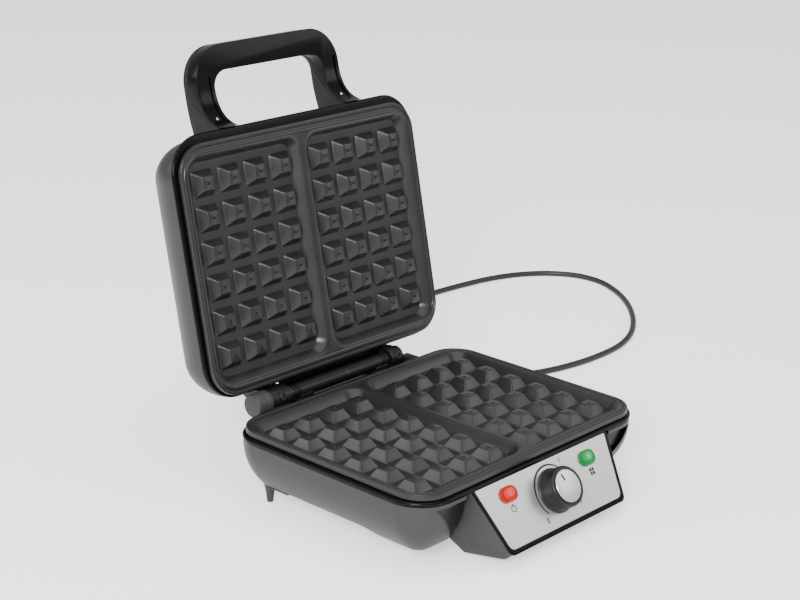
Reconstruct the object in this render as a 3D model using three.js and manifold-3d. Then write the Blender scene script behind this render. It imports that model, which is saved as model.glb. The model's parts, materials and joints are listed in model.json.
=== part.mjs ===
// A double Belgian waffle maker with its lid open, in millimetres, +Z up.
// The work is laid out around one reference: the middle of the lower plate at the height of its
// pyramid tops. +X is the user's right, -Y the front with the controls, +Y the hinge side.
// The exported group then stands this on z = 0 with its outer box centred on x = 0, y = 0.
import * as THREE from "three";
import { ConvexGeometry } from "three/addons/geometries/ConvexGeometry.js";
import { mergeVertices } from "three/addons/utils/BufferGeometryUtils.js";
import Module from "manifold-3d";

const wasm = await Module();
wasm.setup();

// ---------------------------------------------------------------- driving dimensions
const FEET_Z = -66; // table, below the pyramid tops
const BOX_MIDDLE_Y = 39.6; // middle of the outer box along Y, measured from the plate's middle
const FIT = 0.3; // gap kept between touching pieces

const LID_OPEN = THREE.MathUtils.degToRad(102); // how far the lid stands open
const PLATE_GAP = 4; // between the two sets of pyramid tops when the lid is shut
const HINGE = { y: 114.8, z: 2.3 };

const PITCH = 28; // from pyramid to pyramid
const COLUMNS = 4; // pyramids across one waffle
const ROWS = 6; // pyramids along one waffle
const FIRST_COLUMN_X = 22.5;
const WELL_DEPTH = 8;
const PYRAMID = { base: 20.5, top: 10.5 };
const RIM = { halfX: 132.5, halfY: 102.5, radius: 26, top: 0.3, underside: -4.7 };
const PLATE_BODY = { halfX: 125, halfY: 96, radius: 18, bottom: -11 };
const WELL_TOP = { inner: 2.3, outer: 126.9, halfY: 93, radius: 14 };
const WELL_FLOOR = { inner: 11, outer: 118, halfY: 86.5, radius: 9 };

const BEZEL = { halfX: 137, rear: 105.5, front: -105.5, lidFront: -109.5, radius: 32 };
const BEZEL_TOP = -5;
const BEZEL_UNDER = -8.5;

const SHELL = { halfX: 136, halfY: 105, radius: 31, rim: -8.8, line: -12, wall: 1.2 };
const BASE_BOWL = { reach: 60, drop: 54 };
const LID_BOWL = { reach: 60, drop: 54 };
const HEM_Z = -47; // lower edge of the base shell along its sides and rear

const PANEL = { y: -105, z: -7.8, tilt: THREE.MathUtils.degToRad(56), top: 79.5, bottom: 68, slope: 52 };
const KNOB = { down: 25.5, rFoot: 18, rFront: 16.2, height: 16, rCap: 13 };
const LAMP = { x: 48.3, down: 12.7, length: 19, height: 12.5 };

const PIN_R = 2.5;
const BARREL = { r: 6.3, left: -59.7, seam: 5, right: 57 };
const ARMS = { left: [-84, -62], right: [57.6, 71.5], r: 9 };
const END_CAP = { left: -100, right: -84.6, r: 10 };
const BRACKET = { x: 45, halfWidth: 7, bottom: -29, front: 106.2, rear: 119 };
const OUTLET = { left: 77, right: 95, top: -2, bottom: -45, rear: 120 };

const HANDLE = {
  halfX: 80, top: -175.5, radius: 31, holeHalfX: 62, holeTop: -154, holeRadius: 14,
  front: 27, split: 39, back: 44.4, foot: -109.8, root: -88,
};

const CORD = { d: 6, exitX: 86, exitZ: -35, glandEnd: 140 };

// ---------------------------------------------------------------- finishes
function finish(color, roughness, metalness = 0) {
  return new THREE.MeshStandardMaterial({ color, roughness, metalness });
}
const steel = finish(0x75716c, 0.38, 0.85);
const blackGloss = finish(0x0b0b0c, 0.25);
const blackMatte = finish(0x1b1b1c, 0.65);
const nonStick = finish(0x3c3c3e, 0.5, 0.2);
const heater = finish(0x5a4b40, 0.6, 0.7);
const aluminium = finish(0xb9babc, 0.45, 0.9);
const boxGrey = finish(0x3f3e3d, 0.6);
const brushed = finish(0xc6c6c4, 0.35, 0.9);
const redLens = finish(0xc93a26, 0.15);
const greenLens = finish(0x1c9a55, 0.15);
const neonGlass = finish(0xd9c9a0, 0.1);
const zinc = finish(0x9a9b9c, 0.35, 0.9);
const rubber = finish(0x232323, 0.85);
const ceramic = finish(0xe6e1d6, 0.6);
const flex = finish(0x161616, 0.6);

// ---------------------------------------------------------------- solids and meshes
function toSolid(geometry) {
  const bare = geometry.clone();
  bare.deleteAttribute("normal");
  bare.deleteAttribute("uv");
  const merged = mergeVertices(bare, 1e-4);
  return new wasm.Manifold(
    new wasm.Mesh({
      numProp: 3,
      vertProperties: merged.attributes.position.array,
      triVerts: new Uint32Array(merged.index.array),
    }),
  );
}

function toGeometry(solid) {
  const { vertProperties, triVerts } = solid.getMesh();
  const geometry = new THREE.BufferGeometry();
  geometry.setAttribute("position", new THREE.BufferAttribute(vertProperties, 3));
  geometry.setIndex(new THREE.BufferAttribute(triVerts, 1));
  geometry.computeVertexNormals();
  return geometry;
}

function join(geometries) {
  return geometries.map(toSolid).reduce((all, next) => all.add(next));
}

function cut(solid, geometries) {
  return geometries.map(toSolid).reduce((left, next) => left.subtract(next), solid);
}

function place(parent, name, shape, material) {
  const geometry = shape.isBufferGeometry ? shape : toGeometry(shape);
  const mesh = new THREE.Mesh(geometry, material);
  mesh.name = name;
  parent.add(mesh);
  return mesh;
}

// A rounded rectangle as points, counter-clockwise seen from +Z.
function roundedRect({ left, right, front, back, radius }, steps = 6) {
  const points = [];
  const centres = [
    [right - radius, front + radius],
    [right - radius, back - radius],
    [left + radius, back - radius],
    [left + radius, front + radius],
  ];
  centres.forEach(([x, y], corner) => {
    for (let i = 0; i <= steps; i++) {
      const angle = ((corner - 1 + i / steps) * Math.PI) / 2;
      points.push([x + radius * Math.cos(angle), y + radius * Math.sin(angle)]);
    }
  });
  return points;
}

function symmetric(halfX, halfY, radius) {
  return { left: -halfX, right: halfX, front: -halfY, back: halfY, radius };
}

// A closed solid through outlines of the same length, lowest first, its ends closed by fans.
function loft(rings) {
  const count = rings[0].points.length;
  const positions = [];
  const index = [];
  rings.forEach(({ z, points }) => points.forEach(([x, y]) => positions.push(x, y, z)));
  for (let k = 0; k + 1 < rings.length; k++) {
    for (let i = 0; i < count; i++) {
      const a = k * count + i;
      const b = k * count + ((i + 1) % count);
      index.push(a, b, b + count, a, b + count, a + count);
    }
  }
  [[0, true], [rings.length - 1, false]].forEach(([k, under]) => {
    const { z, points } = rings[k];
    const middle = positions.length / 3;
    const x = points.reduce((sum, p) => sum + p[0], 0) / count;
    const y = points.reduce((sum, p) => sum + p[1], 0) / count;
    positions.push(x, y, z);
    for (let i = 0; i < count; i++) {
      const a = k * count + i;
      const b = k * count + ((i + 1) % count);
      index.push(middle, under ? b : a, under ? a : b);
    }
  });
  const geometry = new THREE.BufferGeometry();
  geometry.setAttribute("position", new THREE.Float32BufferAttribute(positions, 3));
  geometry.setIndex(index);
  return geometry;
}

function prism(outline, z0, z1, steps) {
  const points = roundedRect(outline, steps);
  return loft([{ z: z0, points }, { z: z1, points }]);
}

function slab(shape, z0, z1, curveSegments = 6) {
  const geometry = new THREE.ExtrudeGeometry(shape, { depth: z1 - z0, bevelEnabled: false, curveSegments });
  return geometry.translate(0, 0, z0);
}

// A shape drawn as (y, z), extruded from x0 to x1.
const SIDE_ON = new THREE.Matrix4().makeBasis(
  new THREE.Vector3(0, 1, 0), new THREE.Vector3(0, 0, 1), new THREE.Vector3(1, 0, 0),
);
function alongX(shape, x0, x1, curveSegments) {
  return slab(shape, x0, x1, curveSegments).applyMatrix4(SIDE_ON);
}

function block(x0, x1, y0, y1, z0, z1) {
  const geometry = new THREE.BoxGeometry(x1 - x0, y1 - y0, z1 - z0);
  return geometry.translate((x0 + x1) / 2, (y0 + y1) / 2, (z0 + z1) / 2);
}

function rodX(radius, x0, x1, y, z, segments = 24) {
  const geometry = new THREE.CylinderGeometry(radius, radius, x1 - x0, segments);
  return geometry.rotateZ(-Math.PI / 2).translate((x0 + x1) / 2, y, z);
}

function rodY(radius, x, y0, y1, z, segments = 16) {
  return new THREE.CylinderGeometry(radius, radius, y1 - y0, segments).translate(x, (y0 + y1) / 2, z);
}

// A round piece turned about Z: its profile is [radius, z] points, listed upwards from the axis.
function turned(profile, segments = 24) {
  const points = profile.map(([r, z]) => new THREE.Vector2(r, z));
  return new THREE.LatheGeometry(points, segments).rotateX(Math.PI / 2);
}

function disc(radius, z0, z1, segments = 24) {
  return turned([[0, z0], [radius, z0], [radius, z1], [0, z1]], segments);
}

// A rounded sheet-metal bowl: straight at its rim, then curved like a quarter ellipse. wall is the
// distance inside the outer face, side is -1 when it hangs below its rim and +1 when it rises.
function bowl({ reach, drop }, wall, side, rim, line) {
  const steps = 7;
  const rings = [];
  for (let i = 0; i <= steps; i++) {
    const angle = (i / steps) * (Math.PI / 2);
    const inset = reach - (reach - wall) * Math.cos(angle);
    const radius = Math.max(SHELL.radius - inset, 10);
    const points = roundedRect(symmetric(SHELL.halfX - inset, SHELL.halfY - inset, radius), 7);
    rings.push({ z: line + side * (drop - wall) * Math.sin(angle), points });
  }
  rings.unshift({ z: rim, points: rings[0].points });
  return loft(side > 0 ? rings : rings.reverse());
}

// ---------------------------------------------------------------- cooking plates
// A cast plate seen as the lower one: pyramid tops at z = 0, two wells with a ridge between them.
function pyramid(x, y) {
  const sink = 1; // how far its foot runs into the floor, so that the two join
  const widen = ((PYRAMID.base - PYRAMID.top) / WELL_DEPTH) * sink;
  const rTop = PYRAMID.top / Math.SQRT2;
  const rFoot = (PYRAMID.base + widen) / Math.SQRT2;
  const geometry = new THREE.CylinderGeometry(rTop, rFoot, WELL_DEPTH + sink, 4);
  geometry.rotateY(Math.PI / 4).rotateX(Math.PI / 2);
  return geometry.translate(x, y, -(WELL_DEPTH + sink) / 2);
}

function well(side) {
  const level = ({ inner, outer, halfY, radius }, z) => {
    const [left, right] = side > 0 ? [inner, outer] : [-outer, -inner];
    return { z, points: roundedRect({ left, right, front: -halfY, back: halfY, radius }) };
  };
  return loft([level(WELL_FLOOR, -WELL_DEPTH), level(WELL_TOP, RIM.top + 0.2)]);
}

function cookingPlate() {
  const flange = prism(symmetric(RIM.halfX, RIM.halfY, RIM.radius), RIM.underside, RIM.top);
  const body = prism(symmetric(PLATE_BODY.halfX, PLATE_BODY.halfY, PLATE_BODY.radius), PLATE_BODY.bottom, -3);
  const casting = cut(join([flange, body]), [well(-1), well(1)]);
  const pyramids = [];
  for (const side of [-1, 1]) {
    for (let i = 0; i < COLUMNS; i++) {
      for (let j = 0; j < ROWS; j++) {
        pyramids.push(pyramid(side * (FIRST_COLUMN_X + i * PITCH), (j - (ROWS - 1) / 2) * PITCH));
      }
    }
  }
  return casting.add(join(pyramids));
}

function bezel(front, rear) {
  const outline = { left: -BEZEL.halfX, right: BEZEL.halfX, front, back: rear, radius: BEZEL.radius };
  const hole = symmetric(PLATE_BODY.halfX + 1, PLATE_BODY.halfY + 1, PLATE_BODY.radius + 1);
  const ring = toSolid(prism(outline, BEZEL_UNDER, BEZEL_TOP, 8));
  return cut(ring, [prism(hole, BEZEL_UNDER - 1, BEZEL_TOP + 1)]);
}

// The tubular element lies under the plate in one rectangular loop, its two ends side by side.
function heatingElement(z) {
  const bend = 16;
  const corners = [[-14, 86], [-14, 56], [-98, 56], [-98, -66], [98, -66], [98, 56], [14, 56], [14, 86]];
  const at = corners.map(([x, y]) => new THREE.Vector3(x, y, z));
  const path = new THREE.CurvePath();
  let from = at[0];
  for (let i = 1; i + 1 < at.length; i++) {
    const before = at[i].clone().lerp(at[i - 1], bend / at[i].distanceTo(at[i - 1]));
    const after = at[i].clone().lerp(at[i + 1], bend / at[i].distanceTo(at[i + 1]));
    path.add(new THREE.LineCurve3(from, before));
    path.add(new THREE.QuadraticBezierCurve3(before, at[i], after));
    from = after;
  }
  path.add(new THREE.LineCurve3(from, at[at.length - 1]));
  return tube(path, 3.2, 8, 48);
}

function tube(path, radius, sides, steps) {
  const section = new THREE.Shape();
  for (let i = 0; i < sides; i++) {
    const angle = (i / sides) * 2 * Math.PI;
    const [x, y] = [radius * Math.cos(angle), radius * Math.sin(angle)];
    if (i === 0) section.moveTo(x, y);
    else section.lineTo(x, y);
  }
  section.closePath();
  return new THREE.ExtrudeGeometry(section, { extrudePath: path, steps, bevelEnabled: false });
}

// A shallow aluminium tray that throws the heat back at the plate.
function heatShield(z) {
  const tray = toSolid(prism(symmetric(112, 78, 14), z, z + 7));
  return cut(tray, [prism(symmetric(111, 77, 13), z + 1, z + 8)]);
}

// ---------------------------------------------------------------- base
const root = new THREE.Group();
const base = new THREE.Group();
base.position.set(0, -BOX_MIDDLE_Y, -FEET_Z);
root.add(base);

// The edge where the shell ends, as (y, z): level along the rear, then down to the front feet.
function hemLine(shape, lift) {
  shape.moveTo(120, HEM_Z + lift);
  shape.lineTo(-30, HEM_Z + lift);
  shape.bezierCurveTo(-40 - lift / 2, HEM_Z + lift, -44, -61 + lift, -58, -66.2 + lift);
}

function belowHem(lift) {
  const shape = new THREE.Shape();
  hemLine(shape, lift);
  shape.lineTo(-120, -66.2 + lift);
  shape.lineTo(-120, -90);
  shape.lineTo(120, -90);
  return alongX(shape, -150, 150, 8);
}

// The window in the front of the shell that the control box stands in.
function controlWindow() {
  const shape = new THREE.Shape();
  const edge = [[87, 5], [87, -11.9], [118, -12.1], [85, -52], [76, -70]];
  edge.forEach(([x, z], i) => (i ? shape.lineTo(x, z) : shape.moveTo(x, z)));
  [...edge].reverse().forEach(([x, z]) => shape.lineTo(-x, z));
  return slab(shape, -140, -50).rotateX(Math.PI / 2).translate(0, -190, 0);
}

const bracketScrewZ = [-16, -24];
const coverScrewAt = [[-88, -16], [88, -16], [-88, 64], [88, 64]];
const SCREW = { shank: 1.6, hole: 1.95, head: 3.4, headHeight: 2 };

function bracketHoles() {
  return [-1, 1].flatMap((side) =>
    bracketScrewZ.map((z) => rodY(SCREW.hole, side * BRACKET.x, 90, 130, z)),
  );
}

function baseHousing() {
  const outer = toSolid(bowl(BASE_BOWL, 0, -1, SHELL.rim, SHELL.line));
  const shell = cut(outer, [
    bowl(BASE_BOWL, SHELL.wall, -1, SHELL.rim + 1, SHELL.line),
    belowHem(0),
    controlWindow(),
    rodY(7, CORD.exitX, 83, 110, CORD.exitZ, 20),
    ...bracketHoles(),
  ]);
  return shell.intersect(toSolid(block(-150, 150, -120, 120, -66, 0)));
}
place(base, "base_housing", baseHousing(), steel);

// The black moulding inside the shell: a floor that closes it and a low wall behind its front window.
function bottomCover() {
  const floorBody = toSolid(bowl(BASE_BOWL, SHELL.wall + 0.5, -1, SHELL.rim, SHELL.line));
  const wallOuter = toSolid(bowl(BASE_BOWL, 4, -1, -14, -14.5));
  const wall = cut(wallOuter, [bowl(BASE_BOWL, 6, -1, -13, -14.5)]);
  const thickness = 2.2;
  const aboveFloor = alongX(hemBand(thickness), -150, 150, 8);
  const floor = floorBody.intersect(toSolid(aboveFloor));
  const clips = [-1, 1].map((side) => block(side * 117.8 - 1.5, side * 117.8 + 1.5, 53, 71, -50, -46));
  return cut(wall.add(floor).add(join(clips)), [
    belowHemExceptClips(),
    block(-85.4, 85.4, -140, -82.5, -70, 0),
    rodY(7, CORD.exitX, 83, 110, CORD.exitZ, 20),
    ...bracketHoles(),
    ...coverScrewAt.map(([x, y]) => disc(SCREW.hole, -60, -30).translate(x, y, 0)),
  ]);
}

function hemBand(thickness) {
  const shape = new THREE.Shape();
  hemLine(shape, FIT);
  shape.lineTo(-64, -66.2 + thickness);
  shape.bezierCurveTo(-46, -60 + thickness, -41, HEM_Z + thickness, -30, HEM_Z + thickness);
  shape.lineTo(120, HEM_Z + thickness);
  return shape;
}

function belowHemExceptClips() {
  const under = toSolid(belowHem(FIT));
  return toGeometry(cut(under, [block(-130, 130, 50, 74, -50.2, -40)]));
}
place(base, "bottom_cover", bottomCover(), blackMatte);

// Between the hinge arms each bezel has a lip that reaches back towards the barrel.
function rearLip(x0, x1, reach) {
  return toSolid(block(x0, x1, BEZEL.rear - 3, reach, BEZEL_UNDER, BEZEL_TOP));
}

const lipSlots = [-1, 1].map((side) => {
  const x = side * BRACKET.x;
  const half = BRACKET.halfWidth + FIT;
  return block(x - half, x + half, BRACKET.front - FIT, 130, -9, -4);
});
const baseBezel = cut(bezel(BEZEL.front, BEZEL.rear).add(rearLip(BARREL.left, BARREL.right, 118)), [
  block(-84.5, 84.5, -110, -99, -9, -7.1),
  ...lipSlots,
]);
place(base, "base_bezel", baseBezel, blackGloss);
place(base, "lower_plate", cookingPlate(), nonStick);
place(base, "lower_heating_element", heatingElement(-15), heater);
place(base, "lower_heat_shield", heatShield(-27), aluminium);

const fuse = rodX(2, -6, 6, 20, -14, 12);
place(base, "thermal_fuse", fuse, ceramic);
place(base, "terminal_block", block(44, 84, 58, 74, HEM_Z + 2.8, -32), ceramic);

// The floor screws, heads below the cover.
coverScrewAt.forEach(([x, y], i) => {
  const under = HEM_Z;
  const { shank, head, headHeight } = SCREW;
  const profile = [[0, under - headHeight], [head, under - headHeight], [head, under], [shank, under],
    [shank, under + 9], [0, under + 9]];
  place(base, `cover_screw_${i + 1}`, turned(profile, 16), zinc).position.set(x, y, 0);
});

// ---------------------------------------------------------------- feet
// Rubber wedges under the sloping front of the floor, flat on the table.
function frontFoot() {
  const shape = new THREE.Shape();
  shape.moveTo(-57, FEET_Z);
  shape.lineTo(-45, FEET_Z);
  shape.lineTo(-45, -57.8);
  shape.lineTo(-50.5, -63);
  shape.lineTo(-57, FEET_Z + 0.4);
  return alongX(shape, -9, 9);
}

// Tapering pegs under the rear corners, with rounded flat ends.
function rearFoot() {
  const profile = [[0, FEET_Z], [1.9, FEET_Z], [2.6, FEET_Z + 0.8], [4.5, -52], [4.6, HEM_Z], [0, HEM_Z]];
  return turned(profile, 20);
}
[["left", -1], ["right", 1]].forEach(([name, side]) => {
  place(base, `front_foot_${name}`, frontFoot(), rubber).position.x = side * 66;
  place(base, `rear_foot_${name}`, rearFoot(), blackMatte).position.set(side * 113, 80, 0);
});

// ---------------------------------------------------------------- control box
// The box's outline as points of its right half: x, y, z.
const BOX_CORNERS = [
  [81.5, -103.5, -7.5], [70.2, -134.5, -53.4], [71, -129.5, -59], [76, -94, -63.5],
  [84, -84, -51], [84, -84, -21],
];

function boxHull(shrinkX, shrinkYZ) {
  const middle = new THREE.Vector3(0, -103, -36);
  const scale = new THREE.Vector3(shrinkX, shrinkYZ, shrinkYZ);
  const points = BOX_CORNERS.flatMap(([x, y, z]) => [
    new THREE.Vector3(x, y, z), new THREE.Vector3(-x, y, z),
  ]);
  return new ConvexGeometry(points.map((p) => p.sub(middle).multiply(scale).add(middle)));
}

// Pieces on the sloping panel are drawn flat: +X right, +Y up the slope, +Z out of the panel.
const panelFrame = new THREE.Group();
panelFrame.position.set(0, PANEL.y, PANEL.z);
panelFrame.rotation.x = PANEL.tilt;
base.add(panelFrame);
panelFrame.updateMatrix();

function panelOutline(grow, top, bottom) {
  const corner = 5;
  const widthAt = (down) => PANEL.top + ((PANEL.bottom - PANEL.top) * down) / PANEL.slope + grow;
  const shape = new THREE.Shape();
  shape.moveTo(-widthAt(top), -top);
  shape.lineTo(-widthAt(bottom - corner), -(bottom - corner));
  shape.quadraticCurveTo(-widthAt(bottom), -bottom, -widthAt(bottom) + corner, -bottom);
  shape.lineTo(widthAt(bottom) - corner, -bottom);
  shape.quadraticCurveTo(widthAt(bottom), -bottom, widthAt(bottom - corner), -(bottom - corner));
  shape.lineTo(widthAt(top), -top);
  return shape;
}

function pill(length, height) {
  const r = height / 2;
  const flat = length / 2 - r;
  const shape = new THREE.Shape();
  shape.moveTo(-flat, -r);
  shape.lineTo(flat, -r);
  shape.absarc(flat, 0, r, -Math.PI / 2, Math.PI / 2, false);
  shape.lineTo(-flat, r);
  shape.absarc(-flat, 0, r, Math.PI / 2, (3 * Math.PI) / 2, false);
  return shape;
}

const LAMP_STEM = { length: 14, height: 8 };
const SHAFT_R = 3;
function panelHoles() {
  const stem = slab(pill(LAMP_STEM.length + 2 * FIT, LAMP_STEM.height + 2 * FIT), -8, 8);
  return [
    stem.clone().translate(-LAMP.x, -LAMP.down, 0),
    stem.clone().translate(LAMP.x, -LAMP.down, 0),
    disc(SHAFT_R + 1, -8, 8).translate(0, -KNOB.down, 0),
  ];
}

const controlBox = cut(toSolid(boxHull(1, 1)), [
  boxHull(0.97, 0.91),
  block(-72, 72, -90, -80, -48, -18),
  ...panelHoles().map((hole) => hole.applyMatrix4(panelFrame.matrix)),
]);
place(base, "control_box", controlBox, boxGrey);

const PANEL_FACE = 0.4; // the panel's outer face, above its reference plane
const frameRing = cut(toSolid(slab(panelOutline(3.2, -0.2, 56), -0.6, PANEL_FACE + 0.2)), [
  slab(panelOutline(0.2, 0.4, 52.2), -2, 2),
]);
place(panelFrame, "panel_frame", frameRing, blackGloss);
const plateSheet = cut(toSolid(slab(panelOutline(-0.1, 0.7, 51.9), -0.6, PANEL_FACE)), panelHoles());
place(panelFrame, "control_panel", plateSheet, brushed);

function lampLens() {
  const flange = PANEL_FACE + FIT;
  const head = slab(pill(LAMP.length, LAMP.height), flange, flange + 1.1);
  const crown = slab(pill(LAMP.length - 2, LAMP.height - 2), flange + 1, flange + 2);
  const stem = slab(pill(LAMP_STEM.length, LAMP_STEM.height), -5, flange + 0.5);
  return join([head, crown, stem]);
}
[["power", -1, redLens], ["ready", 1, greenLens]].forEach(([name, side, lens]) => {
  place(panelFrame, `${name}_lamp_lens`, lampLens(), lens).position.set(side * LAMP.x, -LAMP.down, 0);
  const neon = place(panelFrame, `${name}_neon_lamp`, disc(2.6, -18, -6, 12), neonGlass);
  neon.position.set(side * LAMP.x, -LAMP.down, 0);
});

const thermostat = block(-17, 17, -14, 14, -22, -5);
const thermostatBore = disc(SHAFT_R + FIT, -16, -4);
const thermostatMesh = place(panelFrame, "thermostat", cut(toSolid(thermostat), [thermostatBore]), ceramic);
thermostatMesh.position.y = -KNOB.down;

// ---------------------------------------------------------------- knob, turning on the thermostat's shaft
const knob = new THREE.Group();
knob.position.y = -KNOB.down;
panelFrame.add(knob);
const KNOB_FOOT = PANEL_FACE + FIT;
const knobProfile = [
  [0, KNOB_FOOT], [KNOB.rFoot, KNOB_FOOT], [KNOB.rFoot, KNOB_FOOT + 1.6], [KNOB.rFront + 0.3, KNOB_FOOT + 3],
  [KNOB.rFront, KNOB.height - 1], [KNOB.rFront - 1, KNOB.height], [0, KNOB.height],
];
const knobBody = cut(toSolid(turned(knobProfile, 36)), [
  disc(SHAFT_R + FIT, -1, 11),
  disc(KNOB.rCap + FIT, KNOB.height - 1.4, KNOB.height + 1, 36),
]);
place(knob, "control_knob", knobBody, blackMatte);
place(knob, "knob_cap", disc(KNOB.rCap, KNOB.height - 1.1, KNOB.height + 0.4, 36), brushed);
place(knob, "thermostat_shaft", disc(SHAFT_R, -15, 10.6), zinc);

// ---------------------------------------------------------------- hinge, base side
// Each bracket is a post behind the shell with a saddle on top that holds the barrel.
const pinBore = rodX(PIN_R + FIT, -120, 120, HINGE.y, HINGE.z);
[["left", -1], ["right", 1]].forEach(([name, side]) => {
  const x = side * BRACKET.x;
  const { halfWidth, front, rear, bottom } = BRACKET;
  const post = block(x - halfWidth, x + halfWidth, front, rear, bottom, HINGE.z - 1);
  const saddle = rodX(BARREL.r + FIT, -120, 120, HINGE.y, HINGE.z);
  place(base, `hinge_bracket_${name}`, cut(toSolid(post), [saddle, ...bracketHoles()]), blackMatte);
  bracketScrewZ.forEach((z, i) => {
    const shankRod = rodY(SCREW.shank, x, 97, rear + FIT + 1, z);
    const headRod = rodY(SCREW.head, x, rear + FIT, rear + FIT + SCREW.headHeight, z);
    place(base, `bracket_screw_${name}_${i + 1}`, join([shankRod, headRod]), zinc);
  });
});
[["left", BARREL.left, BARREL.seam - FIT], ["right", BARREL.seam + FIT, BARREL.right]].forEach(
  ([name, x0, x1]) => {
    const barrel = cut(toSolid(rodX(BARREL.r, x0, x1, HINGE.y, HINGE.z)), [pinBore]);
    place(base, `hinge_barrel_${name}`, barrel, blackMatte);
  },
);
place(base, "hinge_pin", rodX(PIN_R, END_CAP.left + 4, ARMS.right[1] - 1, HINGE.y, HINGE.z), zinc);

// A round cap closes the left end of the hinge; the pin ends inside it.
const endCap = cut(toSolid(rodX(END_CAP.r, END_CAP.left, END_CAP.right, HINGE.y, HINGE.z, 32)), [
  rodX(PIN_R + FIT, END_CAP.left + 3.5, END_CAP.right + 1, HINGE.y, HINGE.z),
]);
place(base, "hinge_end_cap", endCap, boxGrey);

// ---------------------------------------------------------------- lid, drawn shut and turned open
const swing = new THREE.Group();
swing.position.set(0, HINGE.y, HINGE.z);
swing.rotation.x = -LID_OPEN;
base.add(swing);
const lid = new THREE.Group();
lid.position.set(0, -HINGE.y, -HINGE.z);
swing.add(lid);
const mirrored = new THREE.Group(); // turns the lower plate's pieces over to face down
mirrored.position.z = PLATE_GAP;
mirrored.rotation.y = Math.PI;
lid.add(mirrored);

place(mirrored, "upper_plate", cookingPlate(), nonStick);
const lidBezel = bezel(BEZEL.lidFront, SHELL.halfY).add(rearLip(-BARREL.right, -BARREL.left, 110.6));
place(mirrored, "lid_bezel", lidBezel, blackGloss);
place(mirrored, "upper_heating_element", heatingElement(-15), heater);
place(mirrored, "upper_heat_shield", heatShield(-27), aluminium);

const HANDLE_SCREW = { x: 71, z: PLATE_GAP + 20 };
const ARM_SCREW_Z = PLATE_GAP + 17;
function lidHousing() {
  const rim = PLATE_GAP - SHELL.rim;
  const line = PLATE_GAP - SHELL.line;
  return cut(toSolid(bowl(LID_BOWL, 0, 1, rim, line)), [
    bowl(LID_BOWL, SHELL.wall, 1, rim - 1, line),
    ...[-1, 1].map((side) => rodY(SCREW.hole, side * HANDLE_SCREW.x, -115, -95, HANDLE_SCREW.z)),
    ...[ARMS.left, ARMS.right].map(([x0, x1]) => rodY(SCREW.hole, (x0 + x1) / 2, 95, 112, ARM_SCREW_Z)),
  ]);
}
place(lid, "lid_housing", lidHousing(), steel);

// The handle is a loop seen from above, trimmed by its side view so that its legs sweep down. It is
// moulded in two: a front half that the fingers meet and a back half that runs down onto the lid.
function handleLoop() {
  const { halfX, top, radius, holeHalfX, holeTop, holeRadius, root: end } = HANDLE;
  const shape = new THREE.Shape();
  shape.moveTo(halfX, end);
  shape.lineTo(-halfX, end);
  shape.lineTo(-halfX, top + radius);
  shape.absarc(-halfX + radius, top + radius, radius, Math.PI, 1.5 * Math.PI, false);
  shape.absarc(halfX - radius, top + radius, radius, 1.5 * Math.PI, 2 * Math.PI, false);
  const hole = new THREE.Path();
  hole.moveTo(holeHalfX, end + 5);
  hole.lineTo(-holeHalfX, end + 5);
  hole.lineTo(-holeHalfX, holeTop + holeRadius);
  hole.absarc(-holeHalfX + holeRadius, holeTop + holeRadius, holeRadius, Math.PI, 1.5 * Math.PI, false);
  hole.absarc(holeHalfX - holeRadius, holeTop + holeRadius, holeRadius, 1.5 * Math.PI, 2 * Math.PI, false);
  const outer = toSolid(slab(shape, 0, 70, 10));
  return cut(outer, [slab(new THREE.Shape(hole.getPoints(8)), -1, 71)]);
}

// The split between the halves, as (y, z), from the grip down to the bezel.
function splitLine(shape, shift) {
  const { split, foot } = HANDLE;
  const up = PLATE_GAP + shift;
  shape.bezierCurveTo(-133, up + split, -119, up + 30, foot, up + 9.1);
}

function handleFrontView() {
  const { front, split, foot, top } = HANDLE;
  const shape = new THREE.Shape();
  shape.moveTo(foot, PLATE_GAP + 4.8);
  shape.bezierCurveTo(-113, PLATE_GAP + 17, -121, PLATE_GAP + front, -142, PLATE_GAP + front);
  shape.lineTo(top - 1, PLATE_GAP + front);
  shape.lineTo(top - 1, PLATE_GAP + split);
  shape.lineTo(-146, PLATE_GAP + split);
  splitLine(shape, 0);
  return shape;
}

function handleBackView() {
  const { back, split, foot, top, root: end } = HANDLE;
  const shape = new THREE.Shape();
  shape.moveTo(top - 1, PLATE_GAP + split + FIT);
  shape.lineTo(-146, PLATE_GAP + split + FIT);
  splitLine(shape, FIT + 0.2);
  shape.lineTo(end + 1, PLATE_GAP + 9.6);
  shape.lineTo(end + 1, PLATE_GAP + 37);
  shape.bezierCurveTo(-104, PLATE_GAP + 41.5, -118, PLATE_GAP + back, -132, PLATE_GAP + back);
  shape.lineTo(top - 1, PLATE_GAP + back);
  return shape;
}

function handleHalf(view) {
  const solid = handleLoop().intersect(toSolid(alongX(view, -90, 90, 12)));
  const clearOfLid = bowl(LID_BOWL, -FIT, 1, PLATE_GAP - SHELL.rim - FIT, PLATE_GAP - SHELL.line);
  const holes = [-1, 1].map((side) => rodY(SCREW.hole, side * HANDLE_SCREW.x, -119, -90, HANDLE_SCREW.z));
  return cut(solid, [clearOfLid, ...holes]);
}
place(lid, "handle_front", handleHalf(handleFrontView()), blackGloss);
place(lid, "handle_back", handleHalf(handleBackView()), blackMatte);

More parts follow.
